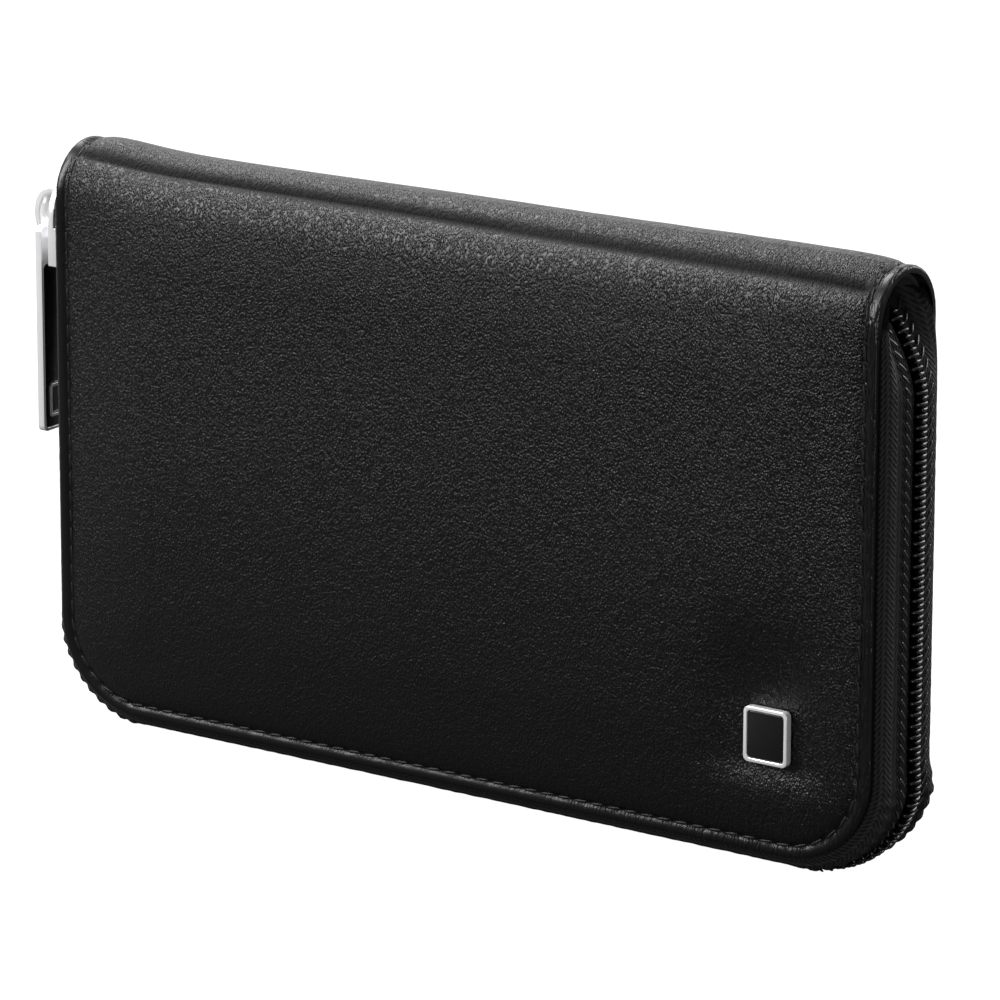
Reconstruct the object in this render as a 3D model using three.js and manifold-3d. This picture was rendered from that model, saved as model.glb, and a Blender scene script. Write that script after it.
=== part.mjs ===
// Zip-round manicure case in padded leather, standing on its zip side, with four tools inside.
// Millimetres: X runs along the spine, the front faces -Y and the spine fold lies on top at +Z.
import * as THREE from 'three';
import { mergeVertices } from 'three/addons/utils/BufferGeometryUtils.js';
import Module from 'manifold-3d';

const wasm = await Module();
wasm.setup();

// Driving sizes of the closed case
const caseWidth = 150;
const panelHeight = 91;
const caseThickness = 17;
const cornerRadius = 15;

// Layers of one half, from the outside in
const leatherThickness = 1.2;
const paddingThickness = 0.8;
const boardThickness = 0.8;
const liningThickness = 0.6;
const glueGap = 0.1;
const boardInset = 6;
const liningInset = 1.6;
const foldGap = 0.3;
const cutOverrun = 1;

// Zip: tape, coil and the bulge of the gusset past the leather's edge
const gussetBulge = 3.3;
const coilThickness = 1.15;
const coilHalfWidth = 3.4;
const toothPitch = 1.75;
const toothReach = 0.45;
const toothDepth = 1.6;
const tapeThickness = 0.6;
const tapeSewnWidth = 5;
const tapeEdgeSetback = 1.2;
const zipTopGap = 0.2;
const leanLength = 14;
const leanDepth = 7.7;

// Slider at the closed end of the zip, on the left side
const sliderLength = 13;
const sliderPastTop = 1.2;
const sliderHalfWidth = 4.4;
const sliderNoseHalf = 1.9;
const flangeLength = 6.2;
const flangeThickness = 0.65;
const sliderTopPlate = 1.1;
const sliderBottomPlate = 0.8;
const sliderClearance = 0.3;
const postHalfWidth = 0.8;
const postLength = 2.6;
const postSetback = 1.8;
const crownReach = 9.6;
const crownTopSetback = 0.8;
const crownBottomSetback = 2.8;
const crownThickness = 1.2;
const crownWidth = 2.8;
const crownBowShare = 0.7;

// Puller that hangs on the slider's crown
const pullerWidth = 8;
const pullerThickness = 1.2;
const pullerLength = 33.5;
const pullerRim = 0.5;
const pullerEyeBar = 1.1;
const pullerEyeHalf = 2.1;
const pullerEyeSlack = 0.9;
const pullerEyeDepth = 2.4;
const pullerHangOffset = 6.9;
const inlayThickness = 0.3;
const inlayGap = 0.1;
const plaqueWidth = 5.3;
const plaqueHeight = 5.3;
const plaqueBorder = 0.45;
const plaqueThickness = 0.25;
const plaqueRise = 4.9;
const softCorner = 1;

// Badge on the front panel
const badgeWidth = 7.6;
const badgeHeight = 8.6;
const badgeThickness = 1.3;
const badgeBorder = 0.6;
const badgeCorner = 0.9;
const badgeRecess = 0.4;
const badgeSideInset = 17.2;
const badgeCentreZ = 18.9;
const prongSize = 0.8;
const prongSpacing = 4;
const prongLength = 1.1;
const prongClearance = 0.15;

// Tool holders and tools, with their heights from the middle of the panels
const pocketLeather = 0.6;
const pocketSideInset = 9;
const pocketWidth = 42;
const pocketHeight = 48;
const pocketDrop = 5;
const pocketFaceY = 0.4;
const strapWidth = 14;
const strapLeft = -8;
const strapLeather = 0.7;
const strapFlangeWidth = 4;
const toolClearance = 0.3;

const scissorsDrop = 3;
const pivotPastPocket = 4;
const bladeLength = 36;
const handleLength = 47;
const ringOuterRadius = 11;
const ringInnerRadius = 8;
const ringSpread = 11.3;
const ringJoinShares = { along: 0.7, across: 0.4 };
const bladeThickness = 1.3;
const bladeWidth = 5.2;
const bladeHeelShare = 0.6;
const shankWidth = 4;
const pivotHoleRadius = 1.25;
const screwShaftRadius = 1.1;
const screwHeadRadius = 2;
const screwHeadHeight = 0.5;
const screwHeadGap = 0.15;

const tweezersRise = 25;
const tweezersWidth = 8;
const tweezersTipWidth = 2.4;
const tweezersArm = 1;
const tweezersGape = 3.6;
const tweezersBowShares = [[0, 0], [0.12, 0.02], [0.35, 0.7], [0.6, 1], [0.85, 0.75], [1, 0.3]];
const tweezersButtShare = 0.7;
const tweezersShoulderShare = 0.25;
const fileRise = 9;
const fileWidth = 7;
const fileThickness = 1.1;
const fileHandleWidth = 8;
const fileHandleThickness = 2.8;
const fileHandleLength = 34;
const fileEndShare = 0.36;
const pusherDrop = 5;
const pusherRadius = 1.7;
const pusherSpoonWidth = 5;
const pusherNeck = 12;
const pusherNeckShares = { radius: 0.55, straight: 0.7 };
const pusherSpoonShares = { length: 0.4, thickness: 0.5 };
const toolLength = 92;
const toolPastStrap = 46;

// Places worked out from the sizes above
const halfWidth = caseWidth / 2;
const halfThickness = caseThickness / 2;
const foldZ = panelHeight - halfThickness;
const panelTop = foldZ - foldGap;
const layerFaces = { outer: halfThickness };
layerFaces.leatherInner = layerFaces.outer - leatherThickness;
layerFaces.paddingOuter = layerFaces.leatherInner - glueGap;
layerFaces.paddingInner = layerFaces.paddingOuter - paddingThickness;
layerFaces.boardOuter = layerFaces.paddingInner - glueGap;
layerFaces.boardInner = layerFaces.boardOuter - boardThickness;
layerFaces.liningOuter = layerFaces.boardInner - glueGap;
layerFaces.liningInner = layerFaces.liningOuter - liningThickness;
const tapeSewnY = layerFaces.leatherInner - glueGap - tapeThickness / 2;
const coilInner = gussetBulge - coilThickness;
const tapeOuter = coilInner - glueGap;
const tapeLine = tapeOuter - tapeThickness / 2;
const tapeInner = tapeOuter - tapeThickness;
const zipTop = panelTop - zipTopGap;
const sliderTop = zipTop + sliderPastTop;
const sliderBottom = sliderTop - sliderLength;
const crownTop = sliderTop - crownTopSetback;
const crownBottom = sliderBottom + crownBottomSetback;
const panelMiddle = panelTop / 2;
const badgeCentreX = halfWidth - badgeSideInset;
const pocketLeft = pocketSideInset - halfWidth;
const pocketLow = panelMiddle - pocketDrop - pocketHeight / 2;
const pocketHigh = pocketLow + pocketHeight;
const scissorsAxisZ = panelMiddle - scissorsDrop;
const scissorsPivotX = pocketLeft + pocketWidth + pivotPastPocket;
const scissorsTipX = scissorsPivotX - bladeLength;
const scissorsRingX = scissorsPivotX + handleLength;
const tweezersAxisZ = panelMiddle + tweezersRise;
const fileAxisZ = panelMiddle + fileRise;
const pusherAxisZ = panelMiddle - pusherDrop;
const toolLeft = strapLeft - toolPastStrap;
const toolRight = toolLeft + toolLength;
const curveSteps = 4;
const outlineSteps = 12;
const roundSteps = 24;

const makeMaterial = (name, color, roughness, metalness = 0) =>
  Object.assign(new THREE.MeshStandardMaterial({ color, roughness, metalness }), { name });
const leather = makeMaterial('leather', 0x141414, 0.5);
const paddingFoam = makeMaterial('padding', 0x3a3a3a, 0.95);
const greyBoard = makeMaterial('board', 0x5c564c, 0.9);
const liningCloth = makeMaterial('lining', 0x1c1c1e, 0.9);
const wovenTape = makeMaterial('tape', 0x111111, 0.85);
const coilPlastic = makeMaterial('coil', 0x0c0c0c, 0.35);
const polishedSteel = makeMaterial('steel', 0xc9c9cc, 0.2, 1);
const blackEnamel = makeMaterial('enamel', 0x0b0b0c, 0.3);
const satinSteel = makeMaterial('satin', 0xb4b6b8, 0.35, 1);
const handlePlastic = makeMaterial('handle', 0x121213, 0.5);

// A body turned between three.js geometry and a manifold solid, for joins and cuts
function toSolid(geometry) {
  const bare = geometry.clone();
  bare.deleteAttribute('normal');
  bare.deleteAttribute('uv');
  const merged = mergeVertices(bare);
  return new wasm.Manifold(new wasm.Mesh({
    numProp: 3,
    vertProperties: new Float32Array(merged.attributes.position.array),
    triVerts: new Uint32Array(merged.index.array),
  }));
}

function toGeometry(solid) {
  const mesh = solid.getMesh();
  const geometry = new THREE.BufferGeometry();
  geometry.setAttribute('position', new THREE.BufferAttribute(mesh.vertProperties, 3));
  geometry.setIndex(new THREE.BufferAttribute(mesh.triVerts, 1));
  geometry.computeVertexNormals();
  return geometry;
}

const join = (...geometries) =>
  toGeometry(geometries.map(toSolid).reduce((whole, piece) => whole.add(piece)));
const cut = (geometry, ...tools) =>
  toGeometry(tools.map(toSolid).reduce((rest, tool) => rest.subtract(tool), toSolid(geometry)));
const common = (first, second) => toGeometry(toSolid(first).intersect(toSolid(second)));

// Outline of a half: straight top at the spine, round lower corners
function panelOutline(inset, top) {
  const outline = new THREE.Shape();
  const side = halfWidth - inset;
  const radius = cornerRadius - inset;
  outline.moveTo(-side, top);
  outline.lineTo(-side, inset + radius);
  outline.absarc(-side + radius, inset + radius, radius, Math.PI, 1.5 * Math.PI, false);
  outline.lineTo(side - radius, inset);
  outline.absarc(side - radius, inset + radius, radius, 1.5 * Math.PI, 2 * Math.PI, false);
  outline.lineTo(side, top);
  outline.closePath();
  return outline;
}

function roundedRectangle(centreX, centreY, width, height, radius) {
  const shape = new THREE.Shape();
  const [x, y] = [centreX - width / 2, centreY - height / 2];
  shape.moveTo(x + radius, y);
  shape.lineTo(x + width - radius, y);
  shape.absarc(x + width - radius, y + radius, radius, -Math.PI / 2, 0, false);
  shape.lineTo(x + width, y + height - radius);
  shape.absarc(x + width - radius, y + height - radius, radius, 0, Math.PI / 2, false);
  shape.lineTo(x + radius, y + height);
  shape.absarc(x + radius, y + height - radius, radius, Math.PI / 2, Math.PI, false);
  shape.lineTo(x, y + radius);
  shape.absarc(x + radius, y + radius, radius, Math.PI, 1.5 * Math.PI, false);
  return shape;
}

// A shape in X and Z, made solid between two Y values
function plateXZ(shape, yFrom, yTo, curveSegments = curveSteps) {
  const low = Math.min(yFrom, yTo);
  const high = Math.max(yFrom, yTo);
  const geometry = new THREE.ExtrudeGeometry(shape, {
    depth: high - low, bevelEnabled: false, curveSegments,
  });
  return geometry.rotateX(Math.PI / 2).translate(0, high, 0);
}

// A shape in Y and Z, made solid between two X values
function barYZ(shape, xFrom, xTo, curveSegments = curveSteps) {
  const low = Math.min(xFrom, xTo);
  const geometry = new THREE.ExtrudeGeometry(shape, {
    depth: Math.abs(xTo - xFrom), bevelEnabled: false, curveSegments,
  });
  const turn = new THREE.Matrix4().makeBasis(
    new THREE.Vector3(0, 1, 0), new THREE.Vector3(0, 0, 1), new THREE.Vector3(1, 0, 0));
  return geometry.applyMatrix4(turn).translate(low, 0, 0);
}

function boxBetween(xFrom, xTo, yFrom, yTo, zFrom, zTo) {
  const size = [Math.abs(xTo - xFrom), Math.abs(yTo - yFrom), Math.abs(zTo - zFrom)];
  return new THREE.BoxGeometry(...size)
    .translate((xFrom + xTo) / 2, (yFrom + yTo) / 2, (zFrom + zTo) / 2);
}

const polygon = (points) => new THREE.Shape(points.map(([x, y]) => new THREE.Vector2(x, y)));

const manicureCase = new THREE.Group();
const layers = new THREE.Group();
manicureCase.add(layers);

function addPiece(name, geometry, material) {
  const mesh = new THREE.Mesh(geometry, material);
  mesh.name = name;
  layers.add(mesh);
  return mesh;
}

// Leather, padding, board and lining of one half; side is -1 at the front and 1 at the rear
function addHalf(name, side, holes) {
  const sheet = (inset, from, to) => plateXZ(
    panelOutline(inset, panelTop), side * layerFaces[from], side * layerFaces[to], outlineSteps);
  const skin = sheet(0, 'outer', 'leatherInner');
  addPiece(`${name}_leather`, holes.length ? cut(skin, ...holes) : skin, leather);
  addPiece(`${name}_padding`, sheet(boardInset, 'paddingOuter', 'paddingInner'), paddingFoam);
  addPiece(`${name}_board`, sheet(boardInset, 'boardOuter', 'boardInner'), greyBoard);
  addPiece(`${name}_lining`, sheet(liningInset, 'liningOuter', 'liningInner'), liningCloth);
}

// Half ring of the spine fold between two radii
function spineArc(name, outerRadius, innerRadius, inset, material) {
  const arc = new THREE.Shape();
  arc.absarc(0, foldZ, outerRadius, 0, Math.PI, false);
  arc.absarc(0, foldZ, innerRadius, Math.PI, 0, true);
  arc.closePath();
  addPiece(name, barYZ(arc, -halfWidth + inset, halfWidth - inset, outlineSteps), material);
}

// The zip's line: place and outward direction at a distance along the chain
const chainLine = (coilInner + gussetBulge) / 2;
const sideRun = zipTop - cornerRadius;
const cornerRun = (Math.PI / 2) * (cornerRadius + chainLine);
const bottomRun = caseWidth - 2 * cornerRadius;
const zipLength = 2 * sideRun + 2 * cornerRun + bottomRun;

function zipFrame(distance) {
  const centre = halfWidth - cornerRadius;
  if (distance <= sideRun) {
    return { x: -halfWidth, z: zipTop - distance, nx: -1, nz: 0 };
  }
  if (distance <= sideRun + cornerRun) {
    const turn = Math.PI + (Math.PI / 2) * ((distance - sideRun) / cornerRun);
    return cornerFrame(-centre, turn);
  }
  if (distance <= sideRun + cornerRun + bottomRun) {
    return { x: -centre + distance - sideRun - cornerRun, z: 0, nx: 0, nz: -1 };
  }
  const past = distance - sideRun - cornerRun - bottomRun;
  if (past <= cornerRun) {
    return cornerFrame(centre, 1.5 * Math.PI + (Math.PI / 2) * (past / cornerRun));
  }
  return { x: halfWidth, z: cornerRadius + past - cornerRun, nx: 1, nz: 0 };
}

function cornerFrame(centreX, turn) {
  const [nx, nz] = [Math.cos(turn), Math.sin(turn)];
  return { x: centreX + cornerRadius * nx, z: cornerRadius * (1 + nz), nx, nz };
}

// How far the chain leans inwards near its end on the right side
function leanAt(frame) {
  const above = frame.nx === 1 ? Math.max(0, frame.z - zipTop + leanLength) : 0;
  return -leanDepth * (above / leanLength) ** 2;
}

const zipPoint = (frame, out, y) =>
  new THREE.Vector3(frame.x + out * frame.nx, y, frame.z + out * frame.nz);

// A closed tube from rings of points, with flat ends
function skinRings(rings, endOutline) {
  const count = rings[0].length;
  const points = rings.flat();
  const faces = [];
  for (let ring = 0; ring + 1 < rings.length; ring += 1) {
    for (let i = 0; i < count; i += 1) {
      const next = (i + 1) % count;
      const [a, b] = [ring * count + i, ring * count + next];
      faces.push(a, b, b + count, a, b + count, a + count);
    }
  }
  const last = (rings.length - 1) * count;
  endOutline.forEach((outline, end) => {
    const start = end * last;
    const turned = THREE.ShapeUtils.isClockWise(outline) === (end === 1);
    for (const [a, b, c] of THREE.ShapeUtils.triangulateShape(outline, [])) {
      faces.push(start + a, start + (turned ? c : b), start + (turned ? b : c));
    }
  });
  return facesOut(points, faces);
}

// Turns every face round if the body came out inside out
function facesOut(points, faces) {
  let volume = 0;
  for (let i = 0; i < faces.length; i += 3) {
    const [a, b, c] = [points[faces[i]], points[faces[i + 1]], points[faces[i + 2]]];
    volume += a.dot(new THREE.Vector3().crossVectors(b, c));
  }
  const index = volume < 0 ? faces.slice().reverse() : faces;
  const geometry = new THREE.BufferGeometry().setFromPoints(points);
  geometry.setIndex(index);
  geometry.computeVertexNormals();
  return geometry;
}

// Line of the tape from its sewn strip to its coil edge: outward place, Y and share of the lean
const gussetCurveShares = [[0.5, 0.13, 0.03], [0.86, 0.4, 0.08], [1, 0.73, 0.2], [1, 0.9, 1]];
function tapeLinePoints() {
  const depth = tapeSewnY - coilHalfWidth;
  return [
    { out: -tapeSewnWidth, y: tapeSewnY, lean: 0 },
    { out: 0, y: tapeSewnY, lean: 0 },
    ...gussetCurveShares.map(([out, along, lean]) =>
      ({ out: out * tapeLine, y: tapeSewnY - along * depth, lean })),
    { out: tapeLine, y: tapeEdgeSetback, lean: 1 },
  ];
}

// Both faces of the tape, half its thickness to each side of its line
function tapeOutline(lean) {
  const line = tapeLinePoints().map((point) =>
    new THREE.Vector2(point.out + lean * point.lean, point.y));
  const sides = line.map((point, i) => {
    const before = line[Math.max(0, i - 1)];
    const after = line[Math.min(line.length - 1, i + 1)];
    const along = after.clone().sub(before).normalize();
    return new THREE.Vector2(-along.y, along.x).multiplyScalar(tapeThickness / 2);
  });
  const outer = line.map((point, i) => point.clone().add(sides[i]));
  const inner = line.map((point, i) => point.clone().sub(sides[i]));
  return [...outer, ...inner.reverse()];
}

function tapeStations() {
  const cornerSteps = 8;
  const leanSteps = 6;
  const stations = [0];
  for (let i = 0; i <= cornerSteps; i += 1) stations.push(sideRun + cornerRun * i / cornerSteps);
  for (let i = 0; i <= cornerSteps; i += 1) {
    stations.push(sideRun + cornerRun + bottomRun + cornerRun * i / cornerSteps);
  }
  for (let i = 0; i <= leanSteps; i += 1) {
    stations.push(zipLength - leanLength * (1 - i / leanSteps));
  }
  return stations;
}

function tapeGeometry(side) {
  const outlines = tapeStations().map((distance) => {
    const frame = zipFrame(distance);
    return { frame, outline: tapeOutline(leanAt(frame)) };
  });
  const rings = outlines.map(({ frame, outline }) =>
    outline.map((point) => zipPoint(frame, point.x, side * point.y)));
  return skinRings(rings, [outlines[0].outline, outlines.at(-1).outline]);
}

// Half of the zip's teeth: a strip whose inner edge runs in and out once a tooth
function coilGeometry(side, fromDistance) {
  const steps = 2 * Math.round(zipLength / toothPitch);
  const first = Math.ceil(fromDistance / zipLength * steps);
  const rings = [];
  const outlines = [];
  for (let i = first; i <= steps; i += 1) {
    const frame = zipFrame(zipLength * i / steps);
    const lean = leanAt(frame);
    const atTip = (i % 2 === 0) === (side < 0);
    const edge = atTip ? -toothReach : toothDepth - toothReach;
    const corners = [[coilInner, coilHalfWidth], [gussetBulge, coilHalfWidth],
      [gussetBulge, edge], [coilInner, edge]];
    const outline = corners.map(([out, y]) => new THREE.Vector2(out + lean, y));
    rings.push(outline.map((point) => zipPoint(frame, point.x, side * point.y)));
    outlines.push(outline);
  }
  return skinRings(rings, [outlines[0], outlines.at(-1)]);
}

// Slider body: two plates joined by a post, with flanges round the coils
const sliderOut = (out) => -(halfWidth + out);
const topPlateInner = gussetBulge + sliderClearance;
const topPlateOuter = topPlateInner + sliderTopPlate;
const bottomPlateOuter = tapeInner - sliderClearance;
const bottomPlateInner = bottomPlateOuter - sliderBottomPlate;

function sliderPlateShape() {
  const shoulder = sliderBottom + flangeLength;
  const shape = new THREE.Shape();
  shape.moveTo(-sliderHalfWidth, sliderBottom);
  shape.lineTo(sliderHalfWidth, sliderBottom);
  shape.lineTo(sliderHalfWidth, shoulder);
  shape.quadraticCurveTo(sliderHalfWidth, sliderTop - sliderNoseHalf, sliderNoseHalf, sliderTop);
  shape.lineTo(-sliderNoseHalf, sliderTop);
  shape.quadraticCurveTo(-sliderHalfWidth, sliderTop - sliderNoseHalf, -sliderHalfWidth, shoulder);
  shape.closePath();
  return shape;
}

function sliderBody() {
  const plate = sliderPlateShape();
  const flangeInner = tapeOuter + sliderClearance;
  const postTop = sliderTop - postSetback;
  const outer = barYZ(plate, sliderOut(topPlateInner), sliderOut(topPlateOuter));
  const inner = barYZ(plate, sliderOut(bottomPlateInner), sliderOut(bottomPlateOuter));
  const post = boxBetween(sliderOut(bottomPlateInner), sliderOut(topPlateOuter),
    -postHalfWidth, postHalfWidth, postTop - postLength, postTop);
  const flanges = [-1, 1].map((side) => boxBetween(sliderOut(flangeInner), sliderOut(topPlateOuter),
    side * (sliderHalfWidth - flangeThickness), side * sliderHalfWidth,
    sliderBottom, sliderBottom + flangeLength));
  return join(outer, inner, post, ...flanges);
}

// Crown: an arched bar over the slider, open underneath for the puller's eye
function crownOutline(offset) {
  const middle = (crownTop + crownBottom) / 2;
  const rise = crownReach - topPlateOuter - offset;
  const half = (crownTop - crownBottom) / 2 - offset;
  const points = [];
  for (let i = 0; i <= roundSteps / 2; i += 1) {
    const turn = Math.PI * i / (roundSteps / 2);
    const reach = topPlateOuter + glueGap + rise * Math.sin(turn) ** crownBowShare;
    points.push([sliderOut(reach), middle - half * Math.cos(turn)]);
  }
  return points;
}

function crownGeometry() {
  const shape = polygon([...crownOutline(0), ...crownOutline(crownThickness).reverse()]);
  return plateXZ(shape, -crownWidth / 2, crownWidth / 2);
}

// Puller: a thin plate with an eye whose bar passes through the crown
const pullerFrom = pullerHangOffset - pullerThickness / 2;
const pullerTo = pullerHangOffset + pullerThickness / 2;
const eyeBarBottom = crownBottom + crownThickness + pullerEyeSlack;
const pullerTop = eyeBarBottom + pullerEyeBar;
const pullerBottom = pullerTop - pullerLength;
const pullerPlateTop = eyeBarBottom - pullerEyeDepth - crownThickness;
const plaqueCentre = pullerBottom + plaqueRise;

function pullerFrame() {
  const blank = barYZ(
    roundedRectangle(0, pullerBottom + pullerLength / 2, pullerWidth, pullerLength, softCorner),
    sliderOut(pullerFrom), sliderOut(pullerTo));
  const eye = boxBetween(sliderOut(pullerFrom - cutOverrun), sliderOut(pullerTo + cutOverrun),
    -pullerEyeHalf, pullerEyeHalf, pullerPlateTop, eyeBarBottom);
  const recess = inlayThickness + inlayGap;
  const recesses = [
    [pullerFrom - cutOverrun, pullerFrom + recess], [pullerTo - recess, pullerTo + cutOverrun]];
  const pockets = recesses.map(([from, to]) =>
    barYZ(inlayShape(pullerRim), sliderOut(from), sliderOut(to)));
  return cut(blank, eye, ...pockets);
}

function inlayShape(rim) {
  const top = pullerPlateTop - pullerRim * 2 - rim;
  const bottom = pullerBottom + rim;
  const corner = softCorner - rim / 2;
  return roundedRectangle(0, (top + bottom) / 2, pullerWidth - 2 * rim, top - bottom, corner);
}

function plaqueShape() {
  const shape = roundedRectangle(0, plaqueCentre, plaqueWidth, plaqueHeight, softCorner / 2);
  shape.holes.push(roundedRectangle(
    0, plaqueCentre, plaqueWidth - 2 * plaqueBorder, plaqueHeight - 2 * plaqueBorder, softCorner / 4));
  return shape;
}

function addPuller() {
  addPiece('puller_frame', pullerFrame(), polishedSteel);
  const inlay = inlayShape(pullerRim + inlayGap);
  const faces = { outer: [pullerTo, -1], inner: [pullerFrom, 1] };
  for (const [name, [face, inward]] of Object.entries(faces)) {
    addPiece(`puller_inlay_${name}`,
      barYZ(inlay, sliderOut(face), sliderOut(face + inward * inlayThickness)), blackEnamel);
    addPiece(`puller_plaque_${name}`,
      barYZ(plaqueShape(), sliderOut(face - inward * (glueGap / 2)),
        sliderOut(face - inward * (glueGap / 2 + plaqueThickness))), polishedSteel);
  }
}

// Badge: a silver tray with two prongs through the leather and a dark inlay
const prongPlaces = [-prongSpacing / 2, prongSpacing / 2];
function prongs(size, length) {
  return prongPlaces.map((offset) => boxBetween(
    badgeCentreX - size / 2, badgeCentreX + size / 2,
    -halfThickness - glueGap, -halfThickness - glueGap + length,
    badgeCentreZ + offset - size / 2, badgeCentreZ + offset + size / 2));
}

function addBadge() {
  const back = -halfThickness - glueGap;
  const front = back - badgeThickness;
  const tray = plateXZ(
    roundedRectangle(badgeCentreX, badgeCentreZ, badgeWidth, badgeHeight, badgeCorner), front, back);
  const recess = (rim) => roundedRectangle(badgeCentreX, badgeCentreZ,
    badgeWidth - 2 * rim, badgeHeight - 2 * rim, badgeCorner - badgeBorder / 2);
  const pocket = plateXZ(recess(badgeBorder), front - cutOverrun, front + badgeRecess + inlayGap);
  const pins = prongs(prongSize, prongLength).map((pin) => pin.translate(0, -inlayGap, 0));
  addPiece('badge_frame', cut(join(tray, ...pins), pocket), polishedSteel);
  const inlay = plateXZ(recess(badgeBorder + inlayGap), front + inlayGap, front + badgeRecess);
  addPiece('badge_inlay', inlay, blackEnamel);
}

// Pocket on the rear lining: a face plate on two long sewn edges
function pocketGeometry() {
  const seat = layerFaces.liningInner - glueGap;
  return barYZ(polygon([
    [pocketFaceY, pocketLow], [pocketFaceY, pocketHigh], [seat, pocketHigh],
    [seat, pocketHigh - pocketLeather], [pocketFaceY + pocketLeather, pocketHigh - pocketLeather],
    [pocketFaceY + pocketLeather, pocketLow + pocketLeather], [seat, pocketLow + pocketLeather],
    [seat, pocketLow],
  ]), pocketLeft, pocketLeft + pocketWidth);
}

// Strap on the front lining: flat where it is sewn, arched over each tool
function strapGeometry(arches) {
  const seat = -layerFaces.liningInner + glueGap;
  const outer = [];
  const inner = [];
  const edges = arches.map(({ z, half, rise }) => ({ low: z - half, high: z + half, top: seat + rise }));
  const start = edges[0].low - strapLeather - strapFlangeWidth;
  const end = edges.at(-1).high + strapLeather + strapFlangeWidth;
  outer.push([seat + strapLeather, start]);
  inner.push([seat, start]);
  for (const { low, high, top } of edges) {
    outer.push([seat + strapLeather, low - strapLeather], [top + strapLeather, low - strapLeather],
      [top + strapLeather, high + strapLeather], [seat + strapLeather, high + strapLeather]);
    inner.push([seat, low], [top, low], [top, high], [seat, high]);
  }
  outer.push([seat + strapLeather, end]);
  inner.push([seat, end]);
  return barYZ(polygon([...outer, ...inner.reverse()]), strapLeft, strapLeft + strapWidth);
}

// Scissors: two flat halves, one above the other, turned about one screw
function bladeShape(handed) {
  const half = bladeWidth / 2;
  const heel = scissorsPivotX + bladeWidth;
  const bend = scissorsTipX + 2 * bladeWidth;
  const heelHigh = handed > 0 ? half : half * bladeHeelShare;
  const heelLow = handed > 0 ? half * bladeHeelShare : half;
  const blade = new THREE.Shape();
  blade.moveTo(scissorsTipX, scissorsAxisZ);
  blade.quadraticCurveTo(bend, scissorsAxisZ + half, scissorsPivotX, scissorsAxisZ + half);
  blade.lineTo(heel, scissorsAxisZ + heelHigh);
  blade.lineTo(heel, scissorsAxisZ - heelLow);
  blade.lineTo(scissorsPivotX, scissorsAxisZ - half);
  blade.quadraticCurveTo(bend, scissorsAxisZ - half, scissorsTipX, scissorsAxisZ);
  return blade;
}

function scissorsHalf(handed, yFrom) {
  const yTo = yFrom - bladeThickness;
  const ringZ = scissorsAxisZ + handed * ringSpread;
  const shankStart = new THREE.Vector2(scissorsPivotX, scissorsAxisZ);
  const shankEnd = new THREE.Vector2(scissorsRingX - ringOuterRadius * ringJoinShares.along,
    ringZ - handed * ringOuterRadius * ringJoinShares.across);
  const along = shankEnd.clone().sub(shankStart).normalize();
  const across = new THREE.Vector2(-along.y, along.x).multiplyScalar(shankWidth / 2);
  const shank = new THREE.Shape([
    shankStart.clone().add(across), shankStart.clone().sub(across),
    shankEnd.clone().sub(across), shankEnd.clone().add(across)]);
  const round = (x, z, radius) => new THREE.Shape().absarc(x, z, radius, 0, 2 * Math.PI, false);
  const whole = join(
    plateXZ(bladeShape(handed), yFrom, yTo), plateXZ(shank, yFrom, yTo),
    plateXZ(round(scissorsRingX, ringZ, ringOuterRadius), yFrom, yTo, roundSteps));
  const [cutFrom, cutTo] = [yFrom + cutOverrun, yTo - cutOverrun];
  return cut(whole,
    plateXZ(round(scissorsRingX, ringZ, ringInnerRadius), cutFrom, cutTo, roundSteps),
    plateXZ(round(scissorsPivotX, scissorsAxisZ, pivotHoleRadius), cutFrom, cutTo));
}

function screwGeometry(backY, frontY) {
  const length = backY - frontY;
  const profile = [
    [0, 0], [screwShaftRadius, 0], [screwShaftRadius, length], [screwHeadRadius, length],
    [screwHeadRadius, length + screwHeadHeight], [0, length + screwHeadHeight],
  ].map(([x, y]) => new THREE.Vector2(x, y));
  return new THREE.LatheGeometry(profile, roundSteps)
    .rotateX(Math.PI).translate(scissorsPivotX, backY, scissorsAxisZ);
}

// Tweezers: two sprung arms that meet at the butt and stand apart towards the tips
const toolSeat = -layerFaces.liningInner + toolClearance;
const tweezersDepth = tweezersGape + tweezersArm + glueGap;

function tweezersArmGeometry(side) {
  const middleY = toolSeat + tweezersDepth / 2;
  const reach = (tweezersGape - tweezersArm) / 2;
  const near = tweezersBowShares.map(([along, apart]) =>
    [toolRight - along * toolLength, middleY + side * (glueGap / 2 + apart * reach)]);
  const far = near.map(([x, y]) => [x, y + side * tweezersArm]).reverse();
  const bent = new THREE.ExtrudeGeometry(
    polygon([...near, ...far]), { depth: tweezersWidth, bevelEnabled: false })
    .translate(0, 0, tweezersAxisZ - tweezersWidth / 2);
  const half = tweezersWidth / 2;
  const butt = half * tweezersButtShare;
  const tip = tweezersTipWidth / 2;
  const shoulder = toolRight - toolLength * tweezersShoulderShare;
  const outline = polygon([
    [toolRight + cutOverrun, tweezersAxisZ - butt], [toolRight + cutOverrun, tweezersAxisZ + butt],
    [shoulder, tweezersAxisZ + half], [toolLeft - cutOverrun, tweezersAxisZ + tip],
    [toolLeft - cutOverrun, tweezersAxisZ - tip], [shoulder, tweezersAxisZ - half]]);
  return common(bent, plateXZ(outline, middleY - caseThickness, middleY + caseThickness));
}

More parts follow.
